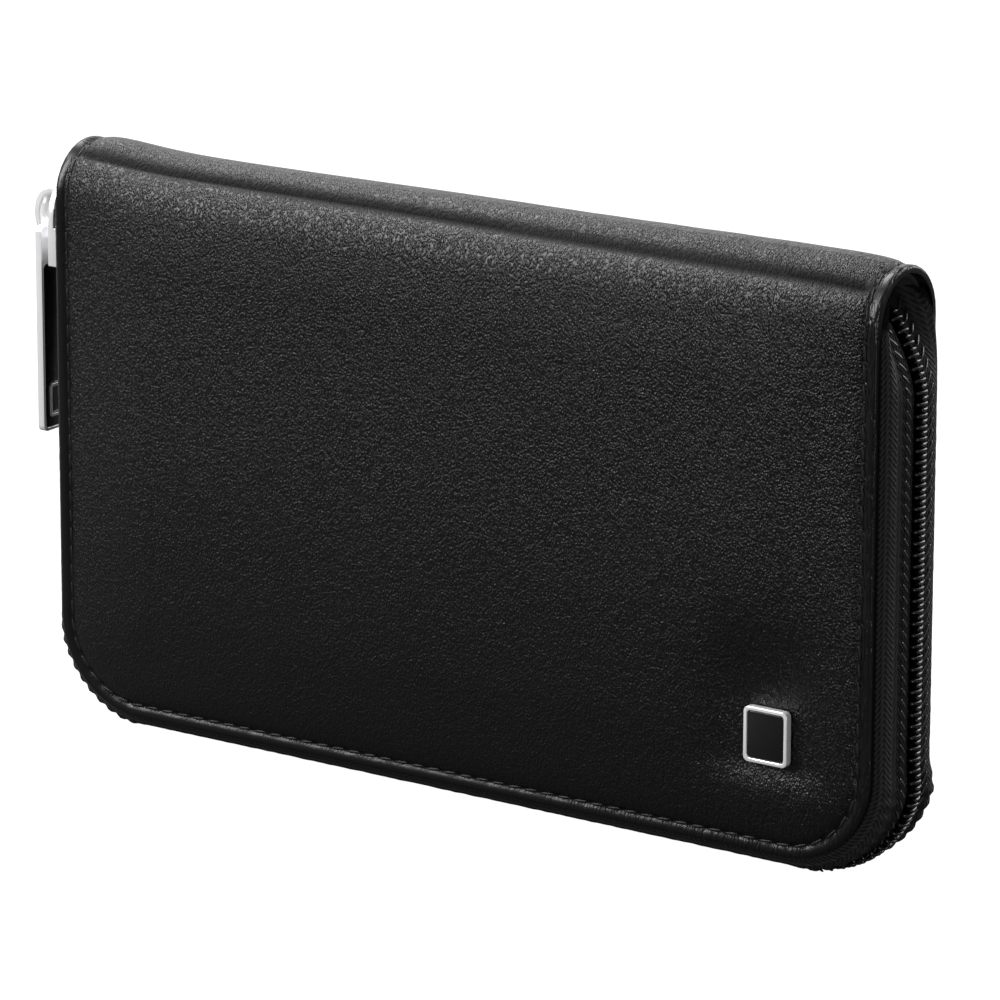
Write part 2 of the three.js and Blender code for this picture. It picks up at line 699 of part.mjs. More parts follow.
function addFile() {
  const middleY = toolSeat + fileHandleThickness / 2;
  const handleLeft = toolRight - fileHandleLength;
  const bladeRight = handleLeft - glueGap;
  const strip = (from, to, width, thickness) => plateXZ(
    roundedRectangle((from + to) / 2, fileAxisZ, to - from, width, width * fileEndShare),
    middleY - thickness / 2, middleY + thickness / 2);
  addPiece('file_blade', strip(toolLeft, bladeRight, fileWidth, fileThickness), satinSteel);
  addPiece('file_handle',
    strip(handleLeft, toolRight, fileHandleWidth, fileHandleThickness), handlePlastic);
}

function pusherGeometry() {
  const middleY = toolSeat + pusherRadius;
  const neckRadius = pusherRadius * pusherNeckShares.radius;
  const straight = pusherNeck * pusherNeckShares.straight;
  const profile = [
    [0, 0], [neckRadius, 0], [neckRadius, straight], [pusherRadius, pusherNeck],
    [pusherRadius, toolLength - pusherNeck], [neckRadius, toolLength - straight],
    [neckRadius, toolLength], [0, toolLength],
  ].map(([x, y]) => new THREE.Vector2(x, y));
  const rod = new THREE.LatheGeometry(profile, roundSteps / 2)
    .rotateZ(-Math.PI / 2).translate(toolLeft, middleY, pusherAxisZ);
  const spoonHalf = pusherNeck * pusherSpoonShares.length;
  const spoons = [toolLeft + spoonHalf, toolRight - spoonHalf].map((x) =>
    new THREE.SphereGeometry(1, roundSteps / 2, roundSteps / 3)
      .scale(spoonHalf, pusherRadius * pusherSpoonShares.thickness, pusherSpoonWidth / 2)
      .translate(x, middleY, pusherAxisZ));
  return join(rod, ...spoons);
}

addHalf('rear', 1, []);
addHalf('front', -1, prongs(prongSize + 2 * prongClearance, leatherThickness + 2 * glueGap + foldGap)
  .map((pin) => pin.translate(0, -glueGap, 0)));
spineArc('spine_leather', halfThickness, halfThickness - leatherThickness, 0, leather);
spineArc('spine_lining', halfThickness - leatherThickness - glueGap,
  halfThickness - leatherThickness - glueGap - liningThickness, liningInset, liningCloth);

addPiece('rear_tape', tapeGeometry(1), wovenTape);
addPiece('front_tape', tapeGeometry(-1), wovenTape);
const rearCoilTop = sliderTop - postSetback - postLength - sliderClearance;
const frontCoilTop = sliderBottom - sliderClearance;
addPiece('rear_coil', coilGeometry(1, zipTop - rearCoilTop), coilPlastic);
addPiece('front_coil', coilGeometry(-1, zipTop - frontCoilTop), coilPlastic);

addPiece('slider_body', sliderBody(), polishedSteel);
addPiece('slider_crown', crownGeometry(), polishedSteel);
addPuller();
addBadge();

const scissorsBackY = layerFaces.liningInner - toolClearance;
addPiece('rear_pocket', pocketGeometry(), leather);
addPiece('scissors_blade_lower', scissorsHalf(-1, scissorsBackY), satinSteel);
const upperBladeY = scissorsBackY - bladeThickness - toolClearance;
addPiece('scissors_blade_upper', scissorsHalf(1, upperBladeY), satinSteel);
const screwFrontY = scissorsBackY - 2 * bladeThickness - toolClearance - screwHeadGap;
addPiece('scissors_screw', screwGeometry(scissorsBackY, screwFrontY), polishedSteel);

const roomOver = (half, thickness) =>
  ({ half: half + toolClearance, rise: thickness + 2 * toolClearance - glueGap });
addPiece('front_strap', strapGeometry([
  { z: pusherAxisZ, ...roomOver(pusherRadius, 2 * pusherRadius) },
  { z: fileAxisZ, ...roomOver(fileHandleWidth / 2, fileHandleThickness) },
  { z: tweezersAxisZ, ...roomOver(tweezersWidth / 2, tweezersDepth) },
]), leather);
addPiece('tweezers_arm_front', tweezersArmGeometry(-1), satinSteel);
addPiece('tweezers_arm_rear', tweezersArmGeometry(1), satinSteel);
addFile();
addPiece('cuticle_pusher', pusherGeometry(), satinSteel);

// The origin is under the middle of the whole case, at the level that it stands on
const bounds = new THREE.Box3().setFromObject(layers);
const middle = bounds.getCenter(new THREE.Vector3());
layers.position.set(-middle.x, -middle.y, -bounds.min.z);

export default manicureCase;
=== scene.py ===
# Zip-round manicure case in black leather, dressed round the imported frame
import math

import bmesh
import bpy
from mathutils import Matrix, Vector, noise


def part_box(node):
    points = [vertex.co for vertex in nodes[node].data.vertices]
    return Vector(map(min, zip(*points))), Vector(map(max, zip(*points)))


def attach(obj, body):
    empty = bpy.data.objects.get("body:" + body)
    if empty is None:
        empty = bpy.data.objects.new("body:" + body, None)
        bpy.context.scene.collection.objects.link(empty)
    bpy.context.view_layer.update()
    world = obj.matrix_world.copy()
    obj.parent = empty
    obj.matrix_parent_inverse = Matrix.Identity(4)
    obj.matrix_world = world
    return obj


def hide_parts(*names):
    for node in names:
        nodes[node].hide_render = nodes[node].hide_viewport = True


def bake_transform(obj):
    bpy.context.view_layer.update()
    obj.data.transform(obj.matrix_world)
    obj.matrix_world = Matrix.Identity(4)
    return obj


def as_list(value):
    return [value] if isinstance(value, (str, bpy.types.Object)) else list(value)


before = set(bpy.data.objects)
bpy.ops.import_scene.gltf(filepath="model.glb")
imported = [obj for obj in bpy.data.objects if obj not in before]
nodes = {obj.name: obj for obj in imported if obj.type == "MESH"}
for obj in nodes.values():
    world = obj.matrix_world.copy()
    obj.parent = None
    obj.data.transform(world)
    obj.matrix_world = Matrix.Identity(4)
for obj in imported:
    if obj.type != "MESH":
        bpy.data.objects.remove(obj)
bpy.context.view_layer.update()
mm = 0.001

frontLow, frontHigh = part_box("front_leather")
_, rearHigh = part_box("rear_leather")
spineLow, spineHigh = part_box("spine_leather")
case = {
    "left": frontLow.x, "right": frontHigh.x, "bottom": frontLow.z, "fold": spineLow.z,
    "centreX": (frontLow.x + frontHigh.x) / 2, "centreY": (frontLow.y + rearHigh.y) / 2,
    "half": (rearHigh.y - frontLow.y) / 2, "corner": 15 * mm,
}
case["width"] = case["right"] - case["left"]
case["straight"] = case["width"] - 2 * case["corner"]  # between the two lower corners
case["panelRun"] = case["fold"] - case["bottom"]  # straight part of the sheet, hem to fold
case["sheetRun"] = case["panelRun"] + case["half"] * math.pi / 2  # hem to the top line of the spine


# Camera and studio

camera = {
    "azimuth": 34.26, "elevation": 15.81, "roll": 0.13, "distance": 998 * mm,
    "slide": (-3.0 * mm, 1.73 * mm), "pixelsPerUnit": 6538, "picture": 1000, "sensor": 36,
    "aimHeight": 45.5 * mm, "clip": (0.01, 20),
}
aim = Vector((case["centreX"], case["centreY"], case["bottom"] + camera["aimHeight"]))


def framed(place, *axes):
    return Matrix.LocRotScale(place, Matrix(axes).transposed(), None)


def setCamera():
    azimuth, elevation, roll = (math.radians(camera[key]) for key in ("azimuth", "elevation", "roll"))
    back = Vector((math.sin(azimuth) * math.cos(elevation), -math.cos(azimuth) * math.cos(elevation),
                   math.sin(elevation)))
    level = Vector((math.cos(azimuth), math.sin(azimuth), 0))
    upright = back.cross(level)
    right = math.cos(roll) * level + math.sin(roll) * upright
    up = math.cos(roll) * upright - math.sin(roll) * level
    slideX, slideY = camera["slide"]
    bpy.ops.object.camera_add()
    eye = bpy.context.object
    eye.data.sensor_width = camera["sensor"]
    eye.data.lens = camera["pixelsPerUnit"] / camera["picture"] * camera["sensor"]
    eye.data.clip_start, eye.data.clip_end = camera["clip"]
    eye.matrix_world = framed(aim - slideX * right - slideY * up + camera["distance"] * back, right, up, back)
    bpy.context.scene.camera = eye


# Shader helpers: a wire is a socket that takes part in sums

class Wire:
    def __init__(self, tree, socket):
        self.tree = tree
        self.socket = socket

    def ordered(self, operation, *values):
        node = self.tree.nodes.new("ShaderNodeMath")
        node.operation = operation
        for socket, value in zip(node.inputs, values):
            plug(self.tree, socket, value)
        return Wire(self.tree, node.outputs[0])

    def maths(self, operation, *others):
        return self.ordered(operation, self, *others)

    def clamped(self, low=0.0):
        return self.maths("MAXIMUM", low).maths("MINIMUM", 1.0)

    def wave(self, pitch):
        return (self * (2 * math.pi / pitch)).maths("SINE")

    def __add__(self, other):
        return self.maths("ADD", other)

    __radd__ = __add__

    def __sub__(self, other):
        return self.maths("SUBTRACT", other)

    def __rsub__(self, other):
        return self.ordered("SUBTRACT", other, self)

    def __mul__(self, other):
        return self.maths("MULTIPLY", other)

    def __truediv__(self, other):
        return self.maths("DIVIDE", other)

    def __pow__(self, other):
        return self.maths("POWER", other)


def plug(tree, socket, value):
    if isinstance(value, Wire):
        tree.links.new(value.socket, socket)
    else:
        socket.default_value = value


class Finish:
    def __init__(self, name, **sockets):
        self.material = bpy.data.materials.new(name)
        self.material.use_nodes = True
        self.tree = self.material.node_tree
        self.shader = self.tree.nodes["Principled BSDF"]
        self.set(**sockets)

    def set(self, **sockets):
        for name, value in sockets.items():
            plug(self.tree, self.shader.inputs[spaced(name)], value)

    def node(self, kind, out=0, settings=None, stops=None, **sockets):
        # a socket's name is written as a keyword, or _0 and so on for its number
        made = self.tree.nodes.new("ShaderNode" + kind)
        for name, value in (settings or {}).items():
            setattr(made, name, value)
        if stops:
            for element, (position, shade) in zip(made.color_ramp.elements, stops):
                element.position = position
                element.color = (*shade, 1)
        for name, value in sockets.items():
            plug(self.tree, made.inputs[int(name[1:]) if name[0] == "_" else spaced(name)], value)
        return Wire(self.tree, made.outputs[out])

    def noise(self, scale, detail, place=None, out=0):
        return self.node("TexNoise", out, Vector=place or self.spot(), Scale=scale, Detail=detail)

    def spot(self):
        return self.node("TexCoord", 3)

    def flat(self):
        return self.node("Attribute", 1, {"attribute_name": "flat"})

    def axis(self, place, number):
        return self.node("SeparateXYZ", number, _0=place)

    def ramp(self, share, *stops):
        return self.node("ValToRGB", 0, None, stops, Fac=share)

    def bump(self, height, distance, strength=1.0):
        return self.node("Bump", Height=height, Distance=distance, Strength=strength)


def spaced(name):
    return name.replace("_", " ")


# Modelling helpers

def clearSelection():
    if bpy.context.object and bpy.context.object.mode != "OBJECT":
        bpy.ops.object.mode_set(mode="OBJECT")
    bpy.ops.object.select_all(action="DESELECT")


def grab(piece):
    clearSelection()
    piece.select_set(True)
    bpy.context.view_layer.objects.active = piece
    return piece


def openMesh(piece):
    grab(piece)
    bpy.ops.object.mode_set(mode="EDIT")
    bpy.ops.mesh.select_all(action="SELECT")


def closeMesh():
    bpy.ops.object.mode_set(mode="OBJECT")


def stretchTo(low, high):
    # sizes and places the open flat shape, one unit wide and long, to reach from corner to corner
    bpy.ops.transform.resize(value=(high[0] - low[0], high[1] - low[1], 1))
    bpy.ops.transform.translate(value=((low[0] + high[0]) / 2, (low[1] + high[1]) / 2, 0))


def pick(test, kind="FACE"):
    # selects, in the open mesh, the parts that pass the test
    bpy.ops.mesh.select_mode(type=kind)
    bpy.ops.mesh.select_all(action="DESELECT")
    mesh = bmesh.from_edit_mesh(bpy.context.object.data)
    for part in {"VERT": mesh.verts, "EDGE": mesh.edges, "FACE": mesh.faces}[kind]:
        if test(part):
            part.select_set(True)
    bmesh.update_edit_mesh(bpy.context.object.data)


def middleOf(part):
    return sum((vert.co for vert in part.verts), Vector()) / len(part.verts)


def applyModifier(piece, kind, **settings):
    modifier = piece.modifiers.new(kind.title(), kind)
    for name, value in settings.items():
        setattr(modifier, name, value)
    grab(piece)
    bpy.ops.object.modifier_apply(modifier=modifier.name)


def thicken(piece, thickness, offset):
    applyModifier(piece, "SOLIDIFY", thickness=thickness, offset=offset, use_rim=True)


def smoothed(piece, degrees=40):
    grab(piece)
    bpy.ops.object.shade_smooth_by_angle(angle=math.radians(degrees))
    return piece


def named(piece, name):
    piece.name = piece.data.name = name
    return piece


def settle(piece, name):
    # puts the object's turn, size and place into its mesh
    grab(piece)
    bpy.ops.object.transform_apply(location=True, rotation=True, scale=True)
    return named(piece, name)


def dress(piece, finish, slot, *replaced):
    piece.data.materials.clear()
    piece.data.materials.append(finish.material)
    if replaced:
        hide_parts(*replaced)
    return piece


def strew(name, pattern, matrices):
    # copies of a small shape, each with its own mesh, joined into one piece
    copies = []
    for matrix in matrices:
        copy = pattern.copy()
        copy.data = pattern.data.copy()
        copy.data.transform(matrix)
        bpy.context.scene.collection.objects.link(copy)
        copies.append(copy)
    bpy.data.objects.remove(pattern)
    grab(copies[0])
    for copy in copies:
        copy.select_set(True)
    bpy.ops.object.join()
    return named(copies[0], name)


def faceOut(piece):
    openMesh(piece)
    bpy.ops.mesh.normals_make_consistent(inside=False)
    closeMesh()
    return piece


def keepFlat(piece):
    # remembers where each point lay on the flat cloth or hide, for the grain and the weave
    flat = piece.data.attributes.new("flat", "FLOAT_VECTOR", "POINT")
    for vert, value in zip(piece.data.vertices, flat.data):
        value.vector = vert.co


def keepEdge(piece, distance):
    # remembers how far each point of a flat piece of leather is from its cut edge
    edge = piece.data.attributes.new("edge", "FLOAT", "POINT")
    for vert, value in zip(piece.data.vertices, edge.data):
        value.value = distance(*vert.co.xy)


def wrap(piece, place):
    keepFlat(piece)
    for vert in piece.data.vertices:
        vert.co = place(*vert.co)
    piece.data.update()
    return faceOut(piece)


def cutGrid(steps, low, high, thickness, offset):
    # a rectangle of cloth or leather with an even mesh
    clearSelection()
    bpy.ops.mesh.primitive_grid_add(x_subdivisions=steps[0], y_subdivisions=steps[1], size=1)
    piece = bpy.context.object
    openMesh(piece)
    stretchTo(low, high)
    closeMesh()
    thicken(piece, thickness, offset)
    return piece


def clamp(value, low=0):
    return min(1, max(low, value))


def smoothStep(value, low, high):
    share = clamp((value - low) / (high - low))
    return share * share * (3 - 2 * share)


def hump(distance, width):
    return math.exp(-(distance / width) ** 2)


# The sheet: front panel, spine and rear panel are one hide, cut flat and wrapped round the case

sheet = {
    "cornerSteps": 32, "runSteps": 160, "sideSteps": 216, "thickness": 1.2 * mm, "longEdge": 50 * mm,
    "rings": [0.1, 0.14, 0.18, 0.25, 0.35, 0.35, 0.25, 0.2, 0.17, 0.17, 0.2, 0.25, 0.35, 0.5, 0.7, 0.9, 1.1, 1.3],
    "inkedEdge": 0.05 * mm, "smoothAngle": 50,
}


def cutSheet(name, inset, thickness, rings, coarse=1):
    # a rounded sheet, x as worn and y from the front hem over the spine to the rear hem
    left, right = case["left"] + inset, case["right"] - inset
    low, high = inset, 2 * case["sheetRun"] - inset
    arcSteps, runSteps, sideSteps = (sheet[key] // coarse for key in ("cornerSteps", "runSteps", "sideSteps"))
    clearSelection()
    bpy.ops.mesh.primitive_plane_add(size=1)
    piece = bpy.context.object
    openMesh(piece)
    stretchTo((left, low), (right, high))
    bpy.ops.mesh.bevel(offset=case["corner"] - inset, segments=arcSteps, profile=0.5, affect="VERTICES")
    for axis, steps, middle in ((0, runSteps, case["sheetRun"]), (1, sideSteps, case["centreX"])):
        for far in (False, True):
            def isSide(edge):
                run = edge.verts[0].co - edge.verts[1].co
                return abs(run[axis]) > sheet["longEdge"] and (middleOf(edge)[1 - axis] > middle) == far
            pick(isSide, "EDGE")
            bpy.ops.mesh.subdivide(number_cuts=steps - 1)
    bpy.ops.mesh.select_mode(type="FACE")
    bpy.ops.mesh.select_all(action="SELECT")
    for ring in rings:
        bpy.ops.mesh.inset(thickness=ring * mm)
    bpy.ops.mesh.delete(type="ONLY_FACE")
    depth = inset + sum(rings) * mm

    def facesHem(edge):
        middle = middleOf(edge)
        fromHem = min(middle.y - low, high - middle.y)
        fromSide = min(middle.x - left, right - middle.x)
        return edge.is_boundary and fromHem < fromSide and sheetEdge(middle.x, middle.y) > depth * 0.9

    pick(facesHem, "EDGE")
    bpy.ops.mesh.fill_grid(use_interp_simple=True)
    closeMesh()
    if thickness:
        thicken(piece, thickness, -1)
    return named(piece, name)


def shortRun(run):
    # distance along the sheet from the nearer hem
    return min(run, 2 * case["sheetRun"] - run)


def sheetEdge(x, run):
    # distance from a point of the flat sheet to its rounded edge
    fromSide = min(x - case["left"], case["right"] - x)
    fromHem = shortRun(run)
    radius = case["corner"]
    if fromSide < radius and fromHem < radius:
        return radius - math.hypot(radius - fromSide, radius - fromHem)
    return min(fromSide, fromHem)


def sheetPlace(x, run, out, radiusAt=None):
    # a point of the wrapped sheet, out past the leather's outer face
    side = -1 if run <= case["sheetRun"] else 1
    run = shortRun(run)
    turn = max(0, run - case["panelRun"]) / case["half"]
    radius = (radiusAt(turn) if radiusAt else case["half"]) + out
    height = case["fold"] + radius * math.sin(turn) if turn else case["bottom"] + run
    return Vector((x, case["centreY"] + side * radius * math.cos(turn), height))


hem = {
    "roundness": 0.62 * mm, "drop": 0.5 * mm, "stitchInset": 2.15 * mm, "creaseHalf": 0.62 * mm,
    "creaseDepth": 0.27 * mm, "padRise": 0.85 * mm, "padRun": 3.0 * mm,
    "stitchPitch": 3.0 * mm, "holeDepth": 0.22 * mm, "holeHalf": 0.5 * mm,
}
spineFold = {
    "leftTurn": 0.98, "rightTurn": 0.75, "lowHalf": 0.9 * mm, "highHalf": 1.2 * mm, "depth": 1.35 * mm,
    "gather": 0.6, "gatherRun": 8 * mm, "foldShadeHalf": 1.25 * mm, "foldShadeRise": 0.35 * mm,
    "crown": 1.6 * mm, "crownRun": 16 * mm, "crownInset": 20 * mm, "crownFoot": 50 * mm, "crownRest": 0.2,
    "sag": 1.75 * mm, "sagRun": 14 * mm, "sagStart": 4 * mm, "fleshShare": 0.55, "layers": 4.2 * mm,
}
badgeLow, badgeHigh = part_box("badge_frame")
dimple = {"run": 6.5 * mm, "share": 1.05, "above": 0.6, "below": 2.2}
ripple = {
    "long": 0.16 * mm, "longScale": 26, "longSeed": 0.3, "streak": 0.05 * mm, "streakScale": (160, 22),
    "streakSeed": 7.1, "calm": 0.3, "rightward": (-20 * mm, 40 * mm), "insets": 5,
}


def hemRelief(edge):
    relief = 0
    if edge < hem["roundness"]:
        relief -= hem["drop"] * (1 - math.sqrt(max(0, 1 - (1 - edge / hem["roundness"]) ** 2)))
    relief -= hem["creaseDepth"] * hump(edge - hem["stitchInset"], hem["creaseHalf"])
    beyond = max(0, edge - hem["stitchInset"])
    return relief + hem["padRise"] * (1 - math.exp(-beyond / hem["padRun"]))


def foldRun(x):
    # where the fold line runs on the sheet, lower towards the right end
    share = (x - case["left"]) / case["width"]
    turn = spineFold["leftTurn"] + (spineFold["rightTurn"] - spineFold["leftTurn"]) * share
    return case["panelRun"] + case["half"] * turn


def foldRelief(x, run, edge):
    past = run - foldRun(x)
    inside = smoothStep(edge, hem["stitchInset"], 2 * hem["stitchInset"])
    return -inside * spineFold["depth"] * hump(past, spineFold["highHalf" if past > 0 else "lowHalf"])


def crownRelief(x, run, edge):
    # the padded panel stands proudest some way below the fold
    rest = spineFold["crownRest"]
    below = smoothStep(foldRun(x) - run, 0, spineFold["crownRun"])
    below *= rest + (1 - rest) * smoothStep(run, 0, spineFold["crownFoot"])
    return spineFold["crown"] * below * smoothStep(edge, hem["stitchInset"], spineFold["crownInset"])


def badgeDip(x, height):
    # how much of the padding the badge presses down at a place of the front panel
    awayX = max(badgeLow.x - x, x - badgeHigh.x, 0)
    awayZ = max(dimple["below"] * (badgeLow.z - height), dimple["above"] * (height - badgeHigh.z), 0)
    return dimple["share"] * hump(math.hypot(awayX, awayZ), dimple["run"])


def rippleRelief(x, run, edge):
    inside = smoothStep(edge, hem["stitchInset"], ripple["insets"] * hem["stitchInset"])
    slow = noise.noise(Vector((x, run, ripple["longSeed"])) * ripple["longScale"])
    scaleX, scaleRun = ripple["streakScale"]
    streak = noise.noise(Vector((x * scaleX, run * scaleRun, ripple["streakSeed"])))
    rightward = smoothStep(x - case["centreX"], *ripple["rightward"])
    streak *= ripple["calm"] + (1 - ripple["calm"]) * rightward
    return inside * (ripple["long"] * slow + ripple["streak"] * streak)


def spineSag(x, run):
    fromLeft = x - case["left"]
    depth = spineFold["sag"] * (1 - hump(fromLeft, spineFold["sagRun"])) * (1 - fromLeft / case["width"])
    return depth * smoothStep(run, case["panelRun"] - spineFold["sagStart"], case["sheetRun"])


def leatherPlace(x, run, depth):
    place = sheetPlace(x, run, leatherRelief(x, run, depth) + depth)
    place.z -= spineSag(x, shortRun(run))
    return place


def leatherRelief(x, run, depth):
    edge = sheetEdge(x, run)
    fold, crown = foldRelief(x, shortRun(run), edge), crownRelief(x, shortRun(run), edge)
    relief = hemRelief(edge) + fold + rippleRelief(x, run, edge) + crown
    if run < case["panelRun"]:
        relief -= (hem["padRise"] + crown) * badgeDip(x, case["bottom"] + run)
    if depth < -sheet["thickness"] / 2:  # the flesh side keeps clear of the layers below it
        return max(0, relief) + fold * spineFold["fleshShare"]
    return relief - stitchDip(x, run, edge)


def edgePath(along, inset, side, bend):
    # down the left end, along the bottom and up the right end, inset from the case's edge:
    # x, height above the hem and outward direction
    past = along - side
    after = past - bend - case["straight"]
    turn = math.pi * (1 + (clamp(past / bend) + clamp(after / bend)) / 2)
    outX, outZ = math.cos(turn), math.sin(turn)
    radius = case["corner"] - inset
    x = case["left"] + case["corner"] + min(case["straight"], max(0, past - bend))
    height = case["corner"] + max(0, -past, after - bend)
    return x + radius * outX, height + radius * outZ, outX, outZ


# Stitches run round the whole sheet, a fixed distance inside its edge

seam = {"side": case["sheetRun"] - case["corner"], "bend": (case["corner"] - hem["stitchInset"]) * math.pi / 2}
seam["length"] = 2 * (seam["side"] + seam["bend"]) + case["straight"]
seam["count"] = round(seam["length"] / hem["stitchPitch"])


def seamPoint(step):
    # place and direction on the flat sheet, from the spine's right end down round the front
    along = seam["length"] * step / seam["count"]
    x, run, outX, outRun = edgePath(along, hem["stitchInset"], seam["side"], seam["bend"])
    return 2 * case["centreX"] - x, run, outRun, outX


def holeCell(x, run):
    return round(x / hem["stitchPitch"]), round(run / hem["stitchPitch"])


holeCells = {}
for step in range(seam["count"] + 1):
    needleHole = seamPoint(step)[:2]
    holeCells.setdefault(holeCell(*needleHole), []).append(needleHole)


def stitchDip(x, run, edge):
    # a small pit where the needle went through
    if abs(edge - hem["stitchInset"]) > 3 * hem["holeHalf"]:
        return 0
    run = shortRun(run)
    cellX, cellRun = holeCell(x, run)
    nearest = 1.0
    for stepX in (-1, 0, 1):
        for stepRun in (-1, 0, 1):
            for holeX, holeRun in holeCells.get((cellX + stepX, cellRun + stepRun), ()):
                nearest = min(nearest, math.hypot(x - holeX, run - holeRun))
    return hem["holeDepth"] * hump(nearest, hem["holeHalf"])


stitch = {
    "shape": (2.35 * mm, 0.5 * mm, 0.42 * mm), "sink": 0.3 * mm, "slant": 0.1, "blunt": 0.75, "smoothAngle": 60,
}


def threadShape(length, width, height):
    # a sphere drawn out into a short twist of thread with blunt ends
    clearSelection()
    bpy.ops.mesh.primitive_uv_sphere_add(segments=8, ring_count=8, radius=0.5, rotation=(0, math.pi / 2, 0))
    thread = settle(bpy.context.object, "thread")
    for vert in thread.data.vertices:
        share = clamp(vert.co.x * 2, -1)
        vert.co = Vector((length / 2 * math.copysign(abs(share) ** stitch["blunt"], share), vert.co.y * width,
                          vert.co.z * height))
    return thread


def sewSheet(name, side):
    # side is -1 for the front of the sheet and 1 for the rear
    matrices = []
    for index in range(seam["count"]):
        x, run, aheadX, aheadRun = seamPoint(index + 0.5)
        if side > 0:
            run, aheadRun = 2 * case["sheetRun"] - run, -aheadRun
        here = sheetPlace(x, run, -stitch["sink"])
        ahead = (sheetPlace(x + aheadX * mm, run + aheadRun * mm, -stitch["sink"]) - here).normalized()
        here.z -= spineSag(x, shortRun(run))
        up = (sheetPlace(x, run, mm) - sheetPlace(x, run, 0)).normalized()
        ahead = Matrix.Rotation(stitch["slant"], 3, up) @ ahead
        matrices.append(framed(here, ahead, up.cross(ahead), up))
    return smoothed(strew(name, threadShape(*stitch["shape"]), matrices), stitch["smoothAngle"])


def splitAtSpine(piece, frontName, rearName):
    # cuts a wrapped sheet along the top line of the spine and closes both cuts
    openMesh(piece)
    flat = bmesh.from_edit_mesh(piece.data).verts.layers.float_vector["flat"]
    pick(lambda face: sum(vert[flat].y for vert in face.verts) / len(face.verts) > case["sheetRun"])
    bpy.ops.mesh.separate(type="SELECTED")
    closeMesh()
    rear = next(other for other in bpy.context.selected_objects if other != piece)
    for half, name in ((piece, frontName), (rear, rearName)):
        openMesh(half)
        flat = bmesh.from_edit_mesh(half.data).verts.layers.float_vector["flat"]
        pick(lambda edge: edge.is_boundary and abs(edge.verts[0][flat].z - edge.verts[1][flat].z) < 0.1 * mm,
             "EDGE")
        bpy.ops.mesh.bridge_edge_loops()
        closeMesh()
        smoothed(named(half, name), sheet["smoothAngle"])
    return piece, rear


def inkEdges(piece):
    flat = piece.data.attributes["flat"].data
    for face in piece.data.polygons:
        depths = [flat[i].vector.z for i in face.vertices]
        edges = [sheetEdge(*flat[i].vector[:2]) for i in face.vertices]
        if min(depths) < -sheet["thickness"] / 2 < max(depths) and max(edges) < sheet["inkedEdge"]:
            face.material_index = 1


def bendWithSpine(front, rear):
    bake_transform(front)
    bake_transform(rear)


def declareCut(piece, inset, around, rests):
    # one half of a wrapped sheet, from the hem to the top line of the spine
    width = case["width"] - 2 * inset
    length = case["panelRun"] - inset + around * math.pi / 2
    corners = 2 * (1 - math.pi / 4) * (case["corner"] - inset) ** 2
    width * length - corners
    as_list(rests)


def gatherRows(piece):
    # draws the rows of the flat sheet together where the fold lines need a fine mesh
    for vert in piece.data.vertices:
        x, run, _ = vert.co
        for line in (foldRun(x), 2 * case["sheetRun"] - foldRun(x)):
            vert.co.y -= spineFold["gather"] * (run - line) * hump(run - line, spineFold["gatherRun"])


def layOver(flatPiece, place, finish, slot, inset, around, *halves):
    # wraps a flat sheet round the case; each half has a name, what it rests on and what it stands for
    pieces = splitAtSpine(wrap(flatPiece, place), halves[0][0], halves[1][0])
    for piece, (_, _, *replaced) in zip(pieces, halves):
        dress(piece, finish, slot, *replaced)
    bendWithSpine(*pieces)
    for piece, (_, rests, *_) in zip(pieces, halves):
        declareCut(piece, inset, around, rests)
    return pieces


def makeLeather():
    hide = cutSheet("hide", 0, sheet["thickness"], sheet["rings"])
    gatherRows(hide)
    keepEdge(hide, sheetEdge)
    for piece in layOver(hide, leatherPlace, leather, "leather", 0, case["half"],
                         ("front_cover", ["front_pad", "spine_lining"], "front_leather", "spine_leather"),
                         ("rear_cover", ["rear_pad"], "rear_leather")):
        piece.data.materials.append(edgeInk.material)
        inkEdges(piece)
    seams = [dress(sewSheet(name, side), thread, "leather")
             for name, side in (("front_hem_stitches", -1), ("rear_hem_stitches", 1))]
    bendWithSpine(*seams)
    print("leather: cover cut, wrapped and sewn with", 2 * seam["count"], "stitches")


# The zip runs down the left side, under the case and up the right side

tapeLow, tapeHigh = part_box("front_tape")
coilLow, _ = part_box("front_coil")
chain = {
    "bulge": case["left"] - coilLow.x, "thickness": 1.15 * mm, "reach": 0.7 * mm, "pitch": 1.75 * mm,
    "top": tapeHigh.z, "leanRun": 15 * mm, "leanDepth": 7.3 * mm, "leanBend": 1.6, "partRun": 9 * mm,
    "partDepth": 1.9 * mm, "cornerBulge": 0.7 * mm, "shift": 0.5 * mm, "tuck": 4.8 * mm, "archRoom": 6.2 * mm,
}
chain["line"] = chain["bulge"] - chain["thickness"] / 2
zipRun = {"side": chain["top"] - case["bottom"] - case["corner"],
          "corner": math.pi / 2 * (case["corner"] + chain["line"])}
# at the right end the zip goes on a little way, up into the spine
zipRun["whole"] = 2 * zipRun["side"] + 2 * zipRun["corner"] + case["straight"] + chain["tuck"]


def zipFrame(along):
    # place and outward direction on the leather's edge, and how far the zip is in a corner
    x, height, outX, outZ = edgePath(along, 0, zipRun["side"], zipRun["corner"])
    return x, case["bottom"] + height, outX, outZ, min(1, 4 * abs(outX * outZ))


